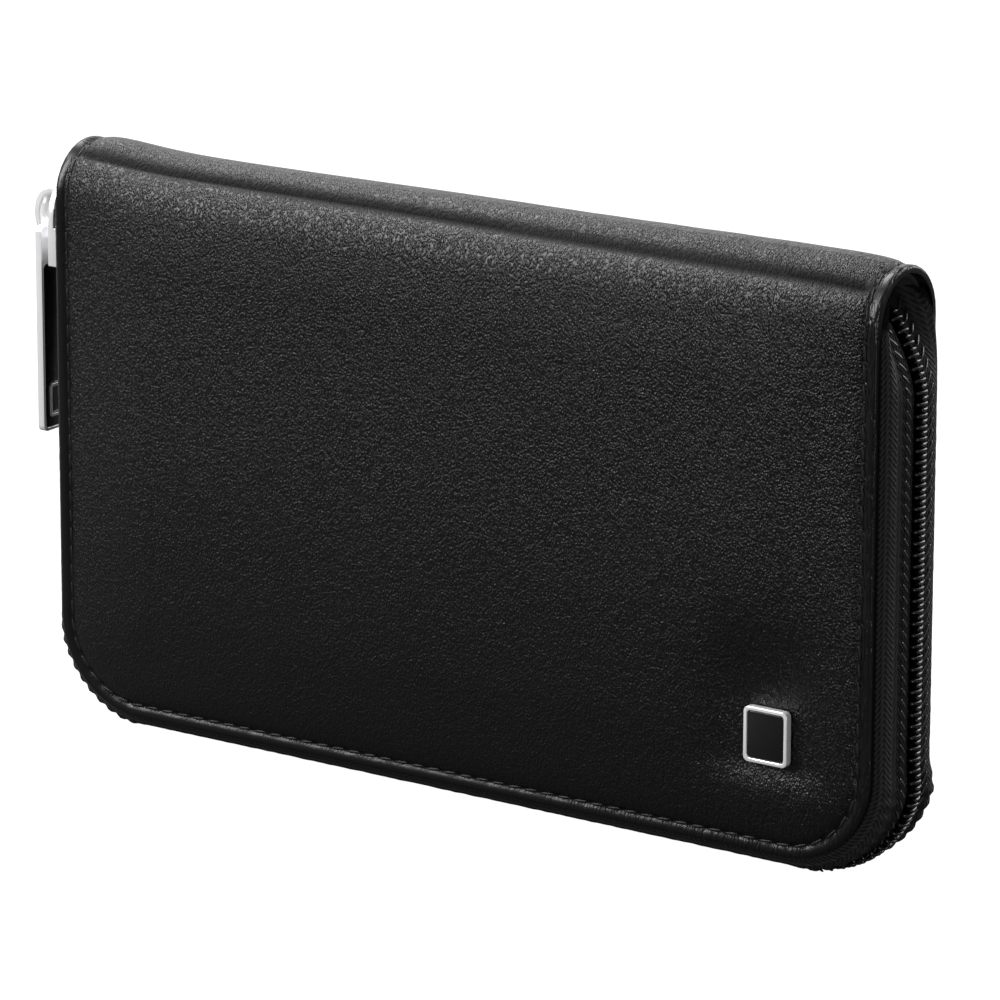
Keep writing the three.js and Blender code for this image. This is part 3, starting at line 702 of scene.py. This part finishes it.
def zipPlace(along, across, out, leanShare=1.0):
    x, z, outX, outZ, bent = zipFrame(along)
    out += chain["cornerBulge"] * bent * smoothStep(out, 0, chain["line"])
    lean = max(0, along - zipRun["whole"] + chain["leanRun"]) / chain["leanRun"]
    tuck = lean ** 2 * (1 - leanShare) * max(0, out)
    out -= leanShare * chain["leanDepth"] * lean ** chain["leanBend"] + tuck
    above = max(0, z - case["fold"])
    if above and outX > 0:
        room = math.sqrt(max(0, chain["archRoom"] ** 2 - above ** 2))
        across = math.copysign(min(abs(across), room), across)
    return Vector((x + out * outX, case["centreY"] + across, z + out * outZ))


def chainShift(along):
    # up the right end, past the slider's reach, the chain runs nearer to the rear half
    return chain["shift"] * smoothStep(along, zipRun["whole"] / 2, zipRun["whole"] - zipRun["side"])


def parting(along):
    # the two rows of teeth stand apart inside the slider
    return chain["partDepth"] * (1 - smoothStep(along, 0, chain["partRun"]))


tape = {
    "thickness": 0.6 * mm, "sewnWidth": 4.9 * mm, "line": 1.75 * mm, "edge": 1.2 * mm, "turnEnd": 3.9 * mm,
    "turnWidth": 4.15 * mm, "turnPull": 1.3 * mm, "turnLean": 0.35, "stiff": 0.85, "steps": (620, 22),
    "ripple": 0.07 * mm, "rippleScale": 700, "gather": 0.16 * mm, "gatherPitch": 2.4 * mm,
    "loose": (2 * mm, 4 * mm, 6 * mm), "cornerFull": 0.8 * mm, "fullWidth": 6 * mm,
    "narrowing": 0.8, "narrowFrom": -3 * mm, "narrowTo": 0.5 * mm, "near": 0.05 * mm, "smoothAngle": 60,
}
tape["sewnY"] = case["centreY"] - tapeLow.y - tape["thickness"] / 2
tape["width"] = tape["sewnWidth"] + tape["turnWidth"] + tape["turnEnd"] - tape["edge"]


def bezier(points, share):
    while len(points) > 1:
        points = [a.lerp(b, share) for a, b in zip(points, points[1:])]
    return points[0]


def tapeSection(across):
    # distance from the middle, outward place and share of the lean, over the tape's width
    if across <= 0:
        return tape["sewnY"], across, 0
    if across >= tape["turnWidth"]:
        return tape["turnEnd"] - (across - tape["turnWidth"]), tape["line"], 1
    share = across / tape["turnWidth"]
    turn = [Vector((tape["sewnY"], 0)), Vector((tape["sewnY"], tape["line"] * tape["stiff"])),
            Vector((tape["turnEnd"] + tape["turnPull"], tape["line"])), Vector((tape["turnEnd"], tape["line"]))]
    return *bezier(turn, share), smoothStep(share, tape["turnLean"], 1)


def makeTape(name, side, node):
    low, high = (0, -tape["sewnWidth"]), (zipRun["whole"], tape["width"] - tape["sewnWidth"])
    piece = cutGrid(tape["steps"], low, high, tape["thickness"], 0)

    def place(along, across, depth):
        away, out, lean = tapeSection(across)
        ahead = tapeSection(across + tape["near"])
        slope = Vector((ahead[0] - away, ahead[1] - out)).normalized()
        start, middle, end = tape["loose"]
        loose = smoothStep(across, 0, start) * (1 - smoothStep(across, middle, end))
        _, z, outX, _, bent = zipFrame(along)
        if out < 0 and outX > 0:  # the sewn edge narrows where the tape goes up into the spine
            above = z - case["fold"]
            out *= 1 - tape["narrowing"] * smoothStep(above, tape["narrowFrom"], tape["narrowTo"])
        wave = tape["ripple"] * noise.noise(Vector((along, across, side)) * tape["rippleScale"])
        wave += tape["gather"] * bent * math.sin(2 * math.pi * along / tape["gatherPitch"])
        depth += loose * wave
        if side > 0:  # the rear tape stands full at the corners
            out += tape["cornerFull"] * bent * math.sin(math.pi * clamp(across / tape["fullWidth"]))
        # the outer face lies to the outside of the turn
        return zipPlace(along, side * (away + slope.y * depth), out - slope.x * depth, lean)

    dress(smoothed(named(wrap(piece, place), name), tape["smoothAngle"]), weave, "tape", node)
    return piece


tooth = {
    "length": 2.3 * mm, "width": 0.52 * mm, "height": 0.85 * mm, "arch": 1 * mm, "archTop": 0.22,
    "headWidth": 0.62 * mm, "headShare": 0.3, "overlap": 0.05, "soft": 0.24 * mm, "cuts": (0.16, 0.34, 0.6, 0.82),
    "smoothAngle": 50,
}


def toothShape():
    # one turn of the coil: an arched bar whose head reaches over the middle
    clearSelection()
    bpy.ops.mesh.primitive_cube_add(size=1)
    bar = bpy.context.object
    openMesh(bar)
    bpy.ops.transform.resize(value=(tooth["length"], tooth["width"], tooth["height"]))
    bpy.ops.transform.translate(value=(tooth["length"] / 2 - tooth["height"] * tooth["overlap"], 0, 0))
    for share in tooth["cuts"]:
        bpy.ops.mesh.select_all(action="SELECT")
        bpy.ops.mesh.bisect(plane_co=(tooth["length"] * share, 0, 0), plane_no=(1, 0, 0))
    pick(lambda vert: vert.co.x < tooth["length"] * tooth["headShare"], "VERT")
    bpy.ops.transform.resize(value=(1, tooth["headWidth"] / tooth["width"], 1))
    pick(lambda edge: abs(edge.verts[0].co.x - edge.verts[1].co.x) > 0.1 * mm
         or edge.calc_face_angle(0) > 1, "EDGE")
    bpy.ops.mesh.bevel(offset=tooth["soft"], segments=2, profile=0.5)
    closeMesh()
    for vert in bar.data.vertices:
        vert.co.z -= tooth["arch"] * (vert.co.x / tooth["length"] - tooth["archTop"]) ** 2
    return smoothed(bar, tooth["smoothAngle"])


def zipMatrix(along, side, across, out, slant=0.0):
    # x points away from the middle of the chain and z outwards
    near = 0.2 * mm
    here = zipPlace(along, side * across, out) + Vector((0, chainShift(along), 0))
    ahead = zipPlace(along + near, side * across, out) - zipPlace(along - near, side * across, out)
    ahead = ahead.normalized()
    _, _, outX, outZ, _ = zipFrame(along)
    away, up = Vector((0, side, 0)), Vector((outX, 0, outZ))
    up = (up - up.dot(ahead) * ahead).normalized()
    turn = Matrix((away, up.cross(away), up)).transposed()
    return Matrix.LocRotScale(here, turn @ Matrix.Rotation(slant, 3, "Z"), None)


coilThread = {
    "shape": (2.2 * mm, 0.42 * mm, 0.32 * mm), "across": 3.1 * mm, "out": 2.4 * mm, "slant": 0.85, "step": 0.4,
}


def makeCoil(name, side, node):
    shift = 0.5 if side < 0 else 1.0
    places = [chain["pitch"] * (i + shift) for i in range(int(zipRun["whole"] / chain["pitch"]) - 1)]
    teeth = [zipMatrix(along, side, parting(along) - chain["reach"], chain["line"]) for along in places]
    knots = []
    for along in places:
        across = coilThread["across"] - side * chainShift(along) + parting(along)
        knots.append(zipMatrix(along + chain["pitch"] * coilThread["step"], side, across, coilThread["out"],
                               side * coilThread["slant"]))
    coil = dress(strew(name, toothShape(), teeth), nylon, "coil", node)
    sewing = strew(name + "_stitches", threadShape(*coilThread["shape"]), knots)
    return coil, dress(smoothed(sewing, stitch["smoothAngle"]), filament, "coil")


def makeZip():
    for name, side, body in (("front", -1, "front_half"), ("rear", 1, "rear_half")):
        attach(makeTape(name + "_zip_tape", side, name + "_tape"), body)
        for piece in makeCoil(name + "_zip_teeth", side, name + "_coil"):
            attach(piece, body)
    print("zip: tapes, teeth and stitches follow", round(zipRun["whole"] / mm), "mm")


# Layers under the leather: foam pads, boards and the lining cloth

pad = {"inset": 6 * mm, "thickness": 0.8 * mm, "pinch": 5 * mm, "pinchRate": 3, "clear": 0.1 * mm,
       "top": case["panelRun"] - 0.3 * mm, "fill": 0.8, "rings": [0.4, 0.6, 0.8, 1.0, 1.3, 1.6, 2.0]}
lining = {"inset": 1.6 * mm, "thickness": 0.6 * mm, "panelHalf": 5.4 * mm, "spineHalf": 7.2 * mm, "widening": 0.6,
          "foldShare": 0.74, "rings": [0.4, 0.7, 1.0, 1.4, 1.8, 2.2]}


def makePad(name, side, node):
    piece = cutSheet(name, pad["inset"], 0, pad["rings"], 4)
    openMesh(piece)
    bpy.ops.mesh.bisect(plane_co=(0, pad["top"], 0), plane_no=(0, 1, 0), clear_outer=True)
    closeMesh()
    thicken(piece, pad["thickness"], -1)

    def place(x, run, depth):
        out = -sheet["thickness"] - pad["clear"] + depth
        if depth > -pad["thickness"] / 2:
            edge = sheetEdge(x, run)
            fromEdge = min(edge - pad["inset"], pad["pinchRate"] * (pad["top"] - run))
            fullness = hem["padRise"] + crownRelief(x, run, edge)
            if side < 0:
                fullness *= 1 - min(1, badgeDip(x, case["bottom"] + run))
            out += smoothStep(fromEdge, 0, pad["pinch"]) * (fullness - pad["clear"])
        place = sheetPlace(x, run, out)
        place.y = case["centreY"] - side * (place.y - case["centreY"])
        return place

    dress(smoothed(wrap(piece, place), sheet["smoothAngle"]), foam, "padding", node)
    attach(piece, "front_half" if side < 0 else "rear_half")


def liningRadius(turn):
    wider = smoothStep(turn, 0, lining["widening"])
    return lining["panelHalf"] + (lining["spineHalf"] - lining["panelHalf"]) * wider


def liningPlace(x, run, depth):
    short = shortRun(run)
    dip = foldRelief(x, short, sheetEdge(x, run)) * lining["foldShare"]
    place = sheetPlace(x, run, dip + depth, liningRadius)
    place.z -= spineSag(x, short)
    return place


def makeLayers():
    makePad("front_pad", -1, "front_padding")
    makePad("rear_pad", 1, "rear_padding")
    refine("front_card", "front_board", card, "board", 0.12, "front_half", 2)
    refine("rear_card", "rear_board", card, "board", 0.12, "rear_half", 2)
    cloth = cutSheet("lining", lining["inset"], lining["thickness"], lining["rings"], 2)
    gatherRows(cloth)
    around = (liningRadius(0) + 2 * liningRadius(1)) / 3
    layOver(cloth, liningPlace, moleskin, "lining", lining["inset"], around,
            ("front_lining_cloth", ["front_card"], "front_lining", "spine_lining"),
            ("rear_lining_cloth", ["rear_card"], "rear_lining"))
    print("layers: pads, boards and lining")


# Holders: leather bands sewn on the lining, raised over what they hold

pocketLow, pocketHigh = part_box("rear_pocket")
strapLow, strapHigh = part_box("front_strap")
pocket = {
    "steps": (84, 96), "thickness": 0.6 * mm, "flange": 2.0 * mm, "wall": 2.4 * mm, "seat": pocketHigh.y,
    "rise": pocketHigh.y - pocketLow.y - 0.6 * mm, "swell": 0.35 * mm, "seamShare": 0.55,
    "flat": (46 * mm, 56 * mm),
}
strap = {
    "steps": (24, 260), "thickness": 0.7 * mm, "wall": 1.2 * mm, "room": 0.3 * mm, "seat": strapLow.y,
    "flats": [34.7 * mm, 45.6 * mm, 61.4 * mm, 76.3 * mm], "rodHalf": 1.7 * mm, "flat": (14 * mm, 66 * mm),
}
holderThread = {"shape": (2.1 * mm, 0.42 * mm, 0.36 * mm), "pitch": 2.8 * mm, "sink": 0.08 * mm, "end": 1 * mm}
arches = []
for name in ("cuticle_pusher", "file_handle", "tweezers_arm_rear"):
    low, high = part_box(name)
    half = strap["rodHalf"] if name == "cuticle_pusher" else (high.z - low.z) / 2
    arches.append(((low.z + high.z) / 2, half + strap["room"], high.y + strap["room"] - strapLow.y))


def pocketRise(x, z):
    fromEdge = min(z - pocketLow.z, pocketHigh.z - z, x - pocketLow.x)
    up = smoothStep(fromEdge, pocket["flange"], pocket["flange"] + pocket["wall"])
    middle = math.sin(math.pi * clamp((z - pocketLow.z) / (pocketHigh.z - pocketLow.z)))
    return pocket["rise"] * up - pocket["swell"] * up * (1 - middle)


def strapRise(x, z):
    return max(top * (1 - smoothStep(abs(z - middle), half, half + strap["wall"]))
               for middle, half, top in arches)


def layHolder(name, low, high, sizes, rise, side, node):
    # side is the way the band stands off the lining
    piece = cutGrid(sizes["steps"], low.xz, high.xz, sizes["thickness"], 1)
    near = 0.05 * mm

    def place(x, z, depth):
        normal = Vector((rise(x - near, z) - rise(x + near, z), 2 * near, rise(x, z - near) - rise(x, z + near)))
        point = Vector((0, rise(x, z), 0)) + normal.normalized() * depth
        return Vector((x + point.x, sizes["seat"] + side * point.y, z + point.z))

    keepEdge(piece, lambda x, z: min(x - low.x, high.x - x, z - low.z, high.z - z))
    smoothed(named(wrap(piece, place), name), sheet["smoothAngle"])
    return dress(piece, innerLeather, "inner_leather", node)


def sewRow(start, end, sizes, rise, side):
    # matrices for stitches in a straight row on a holder's flat parts
    matrices = []
    count = max(1, round((end - start).length / holderThread["pitch"]))
    ahead = Vector((end.x - start.x, 0, end.y - start.y)).normalized()
    up = Vector((0, side, 0))
    for index in range(count):
        x, z = start.lerp(end, (index + 0.5) / count)
        y = sizes["seat"] + side * (rise(x, z) + sizes["thickness"] - holderThread["sink"])
        matrices.append(framed(Vector((x, y, z)), ahead, up.cross(ahead), up))
    return matrices


def makeHolders():
    inset, end = pocket["flange"] * pocket["seamShare"], holderThread["end"]
    low, high = pocketLow.xz, pocketHigh.xz
    corners = [Vector((high.x - end, low.y + inset)), low + Vector((inset, inset)),
               Vector((low.x + inset, high.y - inset)), Vector((high.x - end, high.y - inset))]
    pocketRows = list(zip(corners, corners[1:]))
    strapRows = [(Vector((strapLow.x + end, z)), Vector((strapHigh.x - end, z))) for z in strap["flats"]]
    for name, node, low, high, sizes, rise, side, rows, seamName, half in (
            ("scissors_pocket", "rear_pocket", pocketLow, pocketHigh, pocket, pocketRise, -1, pocketRows,
             "pocket_stitches", "rear"),
            ("tool_strap", "front_strap", strapLow, strapHigh, strap, strapRise, 1, strapRows,
             "strap_stitches", "front")):
        piece = layHolder(name, low, high, sizes, rise, side, node)
        stitches = [matrix for start, end in rows for matrix in sewRow(start, end, sizes, rise, side)]
        sewing = smoothed(strew(seamName, threadShape(*holderThread["shape"]), stitches), stitch["smoothAngle"])
        dress(sewing, thread, "inner_leather")
        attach(sewing, half + "_half")
        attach(piece, half + "_half")
        half + "_lining_cloth"
    print("holders: pocket and strap")


# Hard pieces keep the solid's form and get worked edges

def refine(name, node, finish, slot, soft, body, segments=3, degrees=35):
    source = nodes[node]
    piece = source.copy()
    piece.data = source.data.copy()
    bpy.context.scene.collection.objects.link(piece)
    piece.parent = None
    piece.matrix_world = Matrix()
    openMesh(piece)
    bpy.ops.mesh.remove_doubles(threshold=0.002 * mm)
    bpy.ops.mesh.dissolve_limited(angle_limit=math.radians(1))
    closeMesh()
    applyModifier(piece, "BEVEL", width=soft * mm, segments=segments, limit_method="ANGLE",
                  angle_limit=math.radians(degrees), use_clamp_overlap=True)
    dress(named(smoothed(piece, degrees), name), finish, slot, node)
    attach(piece, body)


def makeMetal():
    refine("slider_plates", "slider_body", nickel, "slider", 0.22, "zip_slider")
    refine("slider_bridge", "slider_crown", nickel, "slider", 0.3, "zip_slider")
    refine("puller_rim", "puller_frame", nickel, "slider", 0.16, "zip_puller")
    for face in ("outer", "inner"):
        refine("puller_enamel_" + face, "puller_inlay_" + face, lacquer, "inlay", 0.08, "zip_puller", 2)
        refine("puller_plate_" + face, "puller_plaque_" + face, nickel, "slider", 0.06, "zip_puller", 2)
    refine("badge_rim", "badge_frame", nickel, "badge", 0.16, "front_half")
    refine("badge_enamel", "badge_inlay", lacquer, "inlay", 0.08, "front_half", 2)
    print("metal: slider, puller and badge")


def makeTools():
    refine("scissors_lower_half", "scissors_blade_lower", steel, "tool_steel", 0.2, "scissors")
    refine("scissors_upper_half", "scissors_blade_upper", steel, "tool_steel", 0.2, "scissors_upper")
    refine("scissors_pin", "scissors_screw", nickel, "tool_steel", 0.14, "scissors")
    for arm in ("front", "rear"):
        refine("tweezers_" + arm, "tweezers_arm_" + arm, steel, "tool_steel", 0.18, "tweezers")
    refine("nail_file_blade", "file_blade", fileSteel, "tool_steel", 0.15, "nail_file")
    refine("nail_file_grip", "file_handle", grip, "handle", 0.7, "nail_file", 4)
    refine("pusher_rod", "cuticle_pusher", steel, "tool_steel", 0.1, "pusher", 2, 50)
    print("tools: scissors, tweezers, file and pusher")


# Studio

studio = {
    "worldLight": 0.25, "worldGloss": 0.2, "floorShade": 0.06, "floorSize": 6, "backdropLift": 1.0,
    "shoulder": {"size": (0.36, 0.95), "place": (-0.54, -0.54, 0.69), "watts": 20},
    "top": {"size": (0.5, 0.7), "place": (-0.54, 0.22, 0.86), "watts": 12},
    "rim": {"size": (0.8, 0.5), "place": (-0.54, 0.88, 0.3), "watts": 1.5},
    "zip": {"size": (0.8, 0.8), "place": (0.45, 0.88, 0.53), "watts": 11},
    "edge": {"size": (0.2, 0.22), "place": (0.8, -0.55, 0.14), "watts": 2.5},
}


def setWorld():
    world = bpy.data.worlds.new("studio")
    bpy.context.scene.world = world
    world.use_nodes = True
    tree = world.node_tree
    path = tree.nodes.new("ShaderNodeLightPath")
    seen = Wire(tree, path.outputs["Is Camera Ray"]) * (1 - studio["worldLight"])
    glossy = Wire(tree, path.outputs["Is Glossy Ray"]) * (studio["worldGloss"] - studio["worldLight"])
    background = tree.nodes["Background"]
    background.inputs["Color"].default_value = (1, 1, 1, 1)
    plug(tree, background.inputs["Strength"], seen + glossy + studio["worldLight"])


def layFloor():
    clearSelection()
    bpy.ops.mesh.primitive_plane_add(size=studio["floorSize"])
    floor = settle(bpy.context.object, "studio_floor")
    paper = Finish("studio paper", Base_Color=(studio["floorShade"],) * 3 + (1,), Roughness=0.9,
                   Emission_Color=(1, 1, 1, 1))
    tree = paper.tree
    path, glow, mixer = (tree.nodes.new("ShaderNode" + kind) for kind in ("LightPath", "Emission", "AddShader"))
    plug(tree, glow.inputs["Strength"], Wire(tree, path.outputs["Is Camera Ray"]) * studio["backdropLift"])
    for output, socket in ((paper.shader.outputs[0], mixer.inputs[0]), (glow.outputs[0], mixer.inputs[1]),
                           (mixer.outputs[0], tree.nodes["Material Output"].inputs["Surface"])):
        tree.links.new(output, socket)
    floor.data.materials.append(paper.material)


def addLamp(name, size, place, watts):
    # a soft box that points at the middle of the case
    data = bpy.data.lights.new(name, "AREA")
    data.shape = "RECTANGLE"
    data.size, data.size_y = size
    data.energy = watts
    lamp = bpy.data.objects.new(name, data)
    bpy.context.scene.collection.objects.link(lamp)
    toward = Vector(place) - aim
    lamp.matrix_world = Matrix.LocRotScale(Vector(place), toward.to_track_quat("Z", "Y"), None)


def lightStudio():
    bpy.context.scene.view_settings.view_transform = "Standard"
    setWorld()
    layFloor()
    for name in ("shoulder", "top", "rim", "zip", "edge"):
        addLamp(name, **studio[name])


# Finishes

grain = {
    "wander": 0.5 * mm, "wanderScale": 700.0, "drawn": (1.15, 0.85, 1), "cellScale": 780.0, "cellRise": 5.0,
    "cellPower": 0.6, "cellHeight": 0.4, "pebbleScale": 2900.0, "pebbleRise": 1.5, "pebbleLoss": 0.5,
    "poreScale": 6000.0, "poreHeight": 0.1, "creaseScale": (900, 170, 1), "creaseRise": 14.0,
    "creaseHeight": 0.6, "creaseRun": 70 * mm, "slantTurn": -0.75, "slantScale": (420, 1900, 1),
    "slantStart": 9 * mm, "slantRun": 3 * mm, "hemStart": 1.5 * mm, "hemRun": 1.2 * mm, "hemShare": 0.12,
    "lowShare": 0.35, "lowRun": 75 * mm, "depth": 0.13 * mm, "rough": 0.31, "innerRough": 0.05,
    "foldRough": 0.52, "dark": (0.0003,) * 3, "wearAndShade": (0.0014,) * 3,
}


def makeLeatherFinish(name, shine):
    # cracked cells over a millimetre wide, each holding a few shiny pebbles
    finish = Finish(name, Specular_IOR_Level=0.3)
    flat = finish.flat()
    x, run = finish.axis(flat, 0), finish.axis(flat, 1)
    wander = finish.noise(grain["wanderScale"], 2.0, flat, 1)
    away = finish.node("VectorMath", 0, {"operation": "MULTIPLY_ADD"}, _0=wander,
                       _1=(grain["wander"], grain["wander"], 0), _2=flat)
    drawn = finish.node("Mapping", Vector=away, Scale=grain["drawn"])
    cells = finish.node("TexVoronoi", 0, {"feature": "DISTANCE_TO_EDGE"}, Vector=drawn, Scale=grain["cellScale"])
    pebbles = finish.node("TexVoronoi", 0, {"feature": "F1"}, Vector=drawn, Scale=grain["pebbleScale"])
    pores = finish.noise(grain["poreScale"], 2.0, flat)
    swell = (cells * grain["cellRise"]).maths("MINIMUM", 1.0) ** grain["cellPower"]
    domes = (1.0 - (pebbles * grain["pebbleRise"]) ** 2.0).maths("MAXIMUM", 0.0)
    # creases across the right end, slanting ones over the spine
    crease = finish.noise(1.0, 1.0, finish.node("Mapping", Vector=away, Scale=grain["creaseScale"]))
    crease = ((crease - 0.5).maths("ABSOLUTE") * grain["creaseRise"]).maths("MINIMUM", 1.0)
    rightward = ((x - case["centreX"]) / grain["creaseRun"]).clamped()
    slant = finish.noise(1.0, 2.0, finish.node("Mapping", Vector=flat, Rotation=(0, 0, grain["slantTurn"]),
                                               Scale=grain["slantScale"]))
    overSpine = ((run - case["panelRun"] - grain["slantStart"]) / grain["slantRun"]).clamped()
    # along the fold line the hide is rougher, and its colour loses the lighter pebble tops: painted shade in the
    # crease
    short = case["sheetRun"] - (run - case["sheetRun"]).maths("ABSOLUTE")
    lift = (spineFold["rightTurn"] - spineFold["leftTurn"]) * case["half"]
    line = case["panelRun"] + spineFold["leftTurn"] * case["half"] + spineFold["foldShadeRise"]
    past = (short - (x - case["left"]) / case["width"] * lift - line) / spineFold["foldShadeHalf"]
    fold = (past * past * -1.0).maths("EXPONENT")
    # the hem outside the stitches is burnished smooth and dull
    edge = finish.node("Attribute", 2, {"attribute_name": "edge"})
    inside = ((edge - grain["hemStart"]) / grain["hemRun"]).clamped()
    # the hide is smoother towards the hem
    grown = (short / grain["lowRun"]).maths("MINIMUM", 1.0) * (1 - grain["lowShare"]) + grain["lowShare"]
    height = swell * grain["cellHeight"] + domes * (1.0 - overSpine * grain["pebbleLoss"])
    height = (height + pores * grain["poreHeight"]) * (inside * (1 - grain["hemShare"]) + grain["hemShare"]) * grown
    height = height + crease * rightward * grain["creaseHeight"] + slant * overSpine
    # base colour: lighter on the worn pebble tops, and darker in the cracks between cells and along the fold line
    # as painted shade for the shadow the bump cannot cast; darker on the hem too
    wearAndShade = domes * swell * inside * (1.0 - fold)
    rough = grain["rough"] + inside * grain["innerRough"] - wearAndShade * shine + fold * grain["foldRough"]
    finish.set(Base_Color=finish.ramp(wearAndShade, (0.0, grain["dark"]), (1.0, grain["wearAndShade"])),
               Normal=finish.bump(height, grain["depth"]), Roughness=rough.maths("MINIMUM", 1.0))
    return finish


twill = {
    "pitch": 0.95 * mm, "rib": 2.6 * mm, "slope": 1.4, "column": 0.8 * mm, "paintedShadowStart": 2.6 * mm,
    "paintedShadowRun": 2.2 * mm, "paintedShadowDarkest": 0.12, "depth": 0.14 * mm,
}


def makeWeaveFinish():
    # herringbone twill that follows the tape's length
    finish = Finish("black woven tape", Specular_IOR_Level=0.22)
    flat = finish.flat()
    along, across = finish.axis(flat, 0), finish.axis(flat, 1)
    rib = ((across / twill["rib"]).maths("FRACT") - 0.5).maths("ABSOLUTE") * twill["rib"]
    diagonal = (along + rib * twill["slope"]).wave(twill["pitch"])
    fray = finish.noise(3800.0, 2.0, flat)
    # painted shadow: the tape's colour darkens towards the coil, where the teeth and their stitching shade it, and
    # it is rougher there
    shade = (1.0 - (across - twill["paintedShadowStart"]) / twill["paintedShadowRun"]).clamped(twill["paintedShadowDarkest"])
    height = diagonal * 0.5 + across.wave(twill["column"]) * 0.3 + fray * 0.9
    tint = finish.ramp((height * 0.5 + 0.3) * shade, (0.1, (0.001, 0.001, 0.001)), (0.9, (0.024, 0.024, 0.025)))
    finish.set(Base_Color=tint, Normal=finish.bump(height, twill["depth"]),
               Roughness=0.9 - shade * (0.35 - fray * 0.2))
    return finish


def makeSpeckledFinish(name, shade, fineness, rough, depth, **sockets):
    # one colour with a fine noise in its roughness and, where it has a depth, in its surface
    finish = Finish(name, Base_Color=(*shade, 1), **sockets)
    speckle = finish.noise(*fineness)
    lowest, spread = rough
    finish.set(Roughness=lowest + speckle * spread)
    if depth:
        finish.set(Normal=finish.bump(speckle, depth * mm))
    return finish


def makeMetalFinish(name, shade, metallic, rough, brushed, scale):
    finish = Finish(name, Base_Color=(*shade, 1), Metallic=metallic)
    scratch = finish.noise(1.0, 3.0, finish.node("Mapping", Vector=finish.spot(), Scale=scale))
    finish.set(Roughness=rough + scratch * brushed, Normal=finish.bump(scratch, 0.004 * mm, 0.4))
    return finish


def makeClothFinish(name, shade, pitch):
    finish = Finish(name, Base_Color=(*shade, 1))
    flat = finish.flat()
    fuzz = finish.noise(2500.0, 3.0, flat)
    threads = finish.axis(flat, 0).wave(pitch) * finish.axis(flat, 1).wave(pitch)
    finish.set(Normal=finish.bump(threads + fuzz, 0.05 * mm), Roughness=0.7 + fuzz * 0.25)
    return finish


def makeFoamFinish():
    finish = Finish("grey foam", Specular_IOR_Level=0.2)
    cells = finish.node("TexVoronoi", 0, {"feature": "DISTANCE_TO_EDGE"}, Vector=finish.spot(), Scale=1500.0)
    tint = finish.ramp(cells, (0.0, (0.05, 0.05, 0.055)), (0.3, (0.1, 0.1, 0.105)))
    finish.set(Base_Color=tint, Roughness=0.85 + cells * 0.1, Normal=finish.bump(cells, 0.12 * mm))
    return finish


def makeCardFinish():
    finish = Finish("grey fibre board", Specular_IOR_Level=0.3)
    fleck = finish.noise(1.0, 3.0, finish.node("Mapping", Vector=finish.spot(), Scale=(500, 2500, 1800)))
    tint = finish.ramp(fleck, (0.3, (0.1, 0.085, 0.065)), (0.7, (0.2, 0.175, 0.14)))
    finish.set(Base_Color=tint, Roughness=0.8 + fleck * 0.15, Normal=finish.bump(fleck, 0.05 * mm))
    return finish


def makeFileFinish():
    # two crossing sets of fine cuts
    finish = Finish("cut file steel", Metallic=1.0, Base_Color=(0.5, 0.51, 0.52, 1))
    place = finish.spot()
    along, upright = finish.axis(place, 0), finish.axis(place, 2)
    slope, pitch = 0.6, 0.5 * mm
    cuts = (along + upright * slope).wave(pitch).maths("MAXIMUM", (along - upright * slope).wave(pitch))
    finish.set(Roughness=0.32 + finish.noise(2200.0, 2.0, place) * 0.25, Normal=finish.bump(cuts, 0.07 * mm))
    return finish


leather = makeLeatherFinish("black pebbled leather", 0.16)
innerLeather = makeLeatherFinish("black lining leather", 0.1)
weave = makeWeaveFinish()
thread = makeSpeckledFinish("black sewing thread", (0.004, 0.004, 0.0042), (4200.0, 1.0), (0.5, 0.0), 0.06,
                            Specular_IOR_Level=0.25)
nylon = makeSpeckledFinish("black nylon teeth", (0.004, 0.004, 0.0044), (900.0, 2.0), (0.15, 0.2), 0,
                           Specular_IOR_Level=0.5)
edgeInk = makeSpeckledFinish("black edge ink", (0.002, 0.002, 0.002), (1800.0, 2.0), (0.5, 0.2), 0.03,
                             Specular_IOR_Level=0.08)
filament = makeSpeckledFinish("black glossy filament", (0.012, 0.012, 0.013), (3000.0, 1.0), (0.2, 0.15), 0.03,
                              Specular_IOR_Level=0.7)
lacquer = makeSpeckledFinish("black lacquer", (0.003, 0.003, 0.0034), (500.0, 2.0), (0.2, 0.12), 0,
                             Coat_Weight=0.15, Coat_Roughness=0.08, Specular_IOR_Level=0.3)
grip = makeSpeckledFinish("black moulded grip", (0.01, 0.01, 0.011), (2600.0, 2.0), (0.34, 0.18), 0.03,
                          Specular_IOR_Level=0.45)
nickel = makeMetalFinish("satin nickel", (0.88, 0.88, 0.89), 0.6, 0.16, 0.12, (800, 800, 2500))
steel = makeMetalFinish("satin tool steel", (0.66, 0.67, 0.68), 0.85, 0.22, 0.2, (400, 4000, 4000))
moleskin = makeClothFinish("black lining cloth", (0.01, 0.01, 0.011), 0.45 * mm)
foam = makeFoamFinish()
card = makeCardFinish()
fileSteel = makeFileFinish()

setCamera()
lightStudio()
makeLeather()
makeZip()
makeMetal()
makeLayers()
makeHolders()
makeTools()
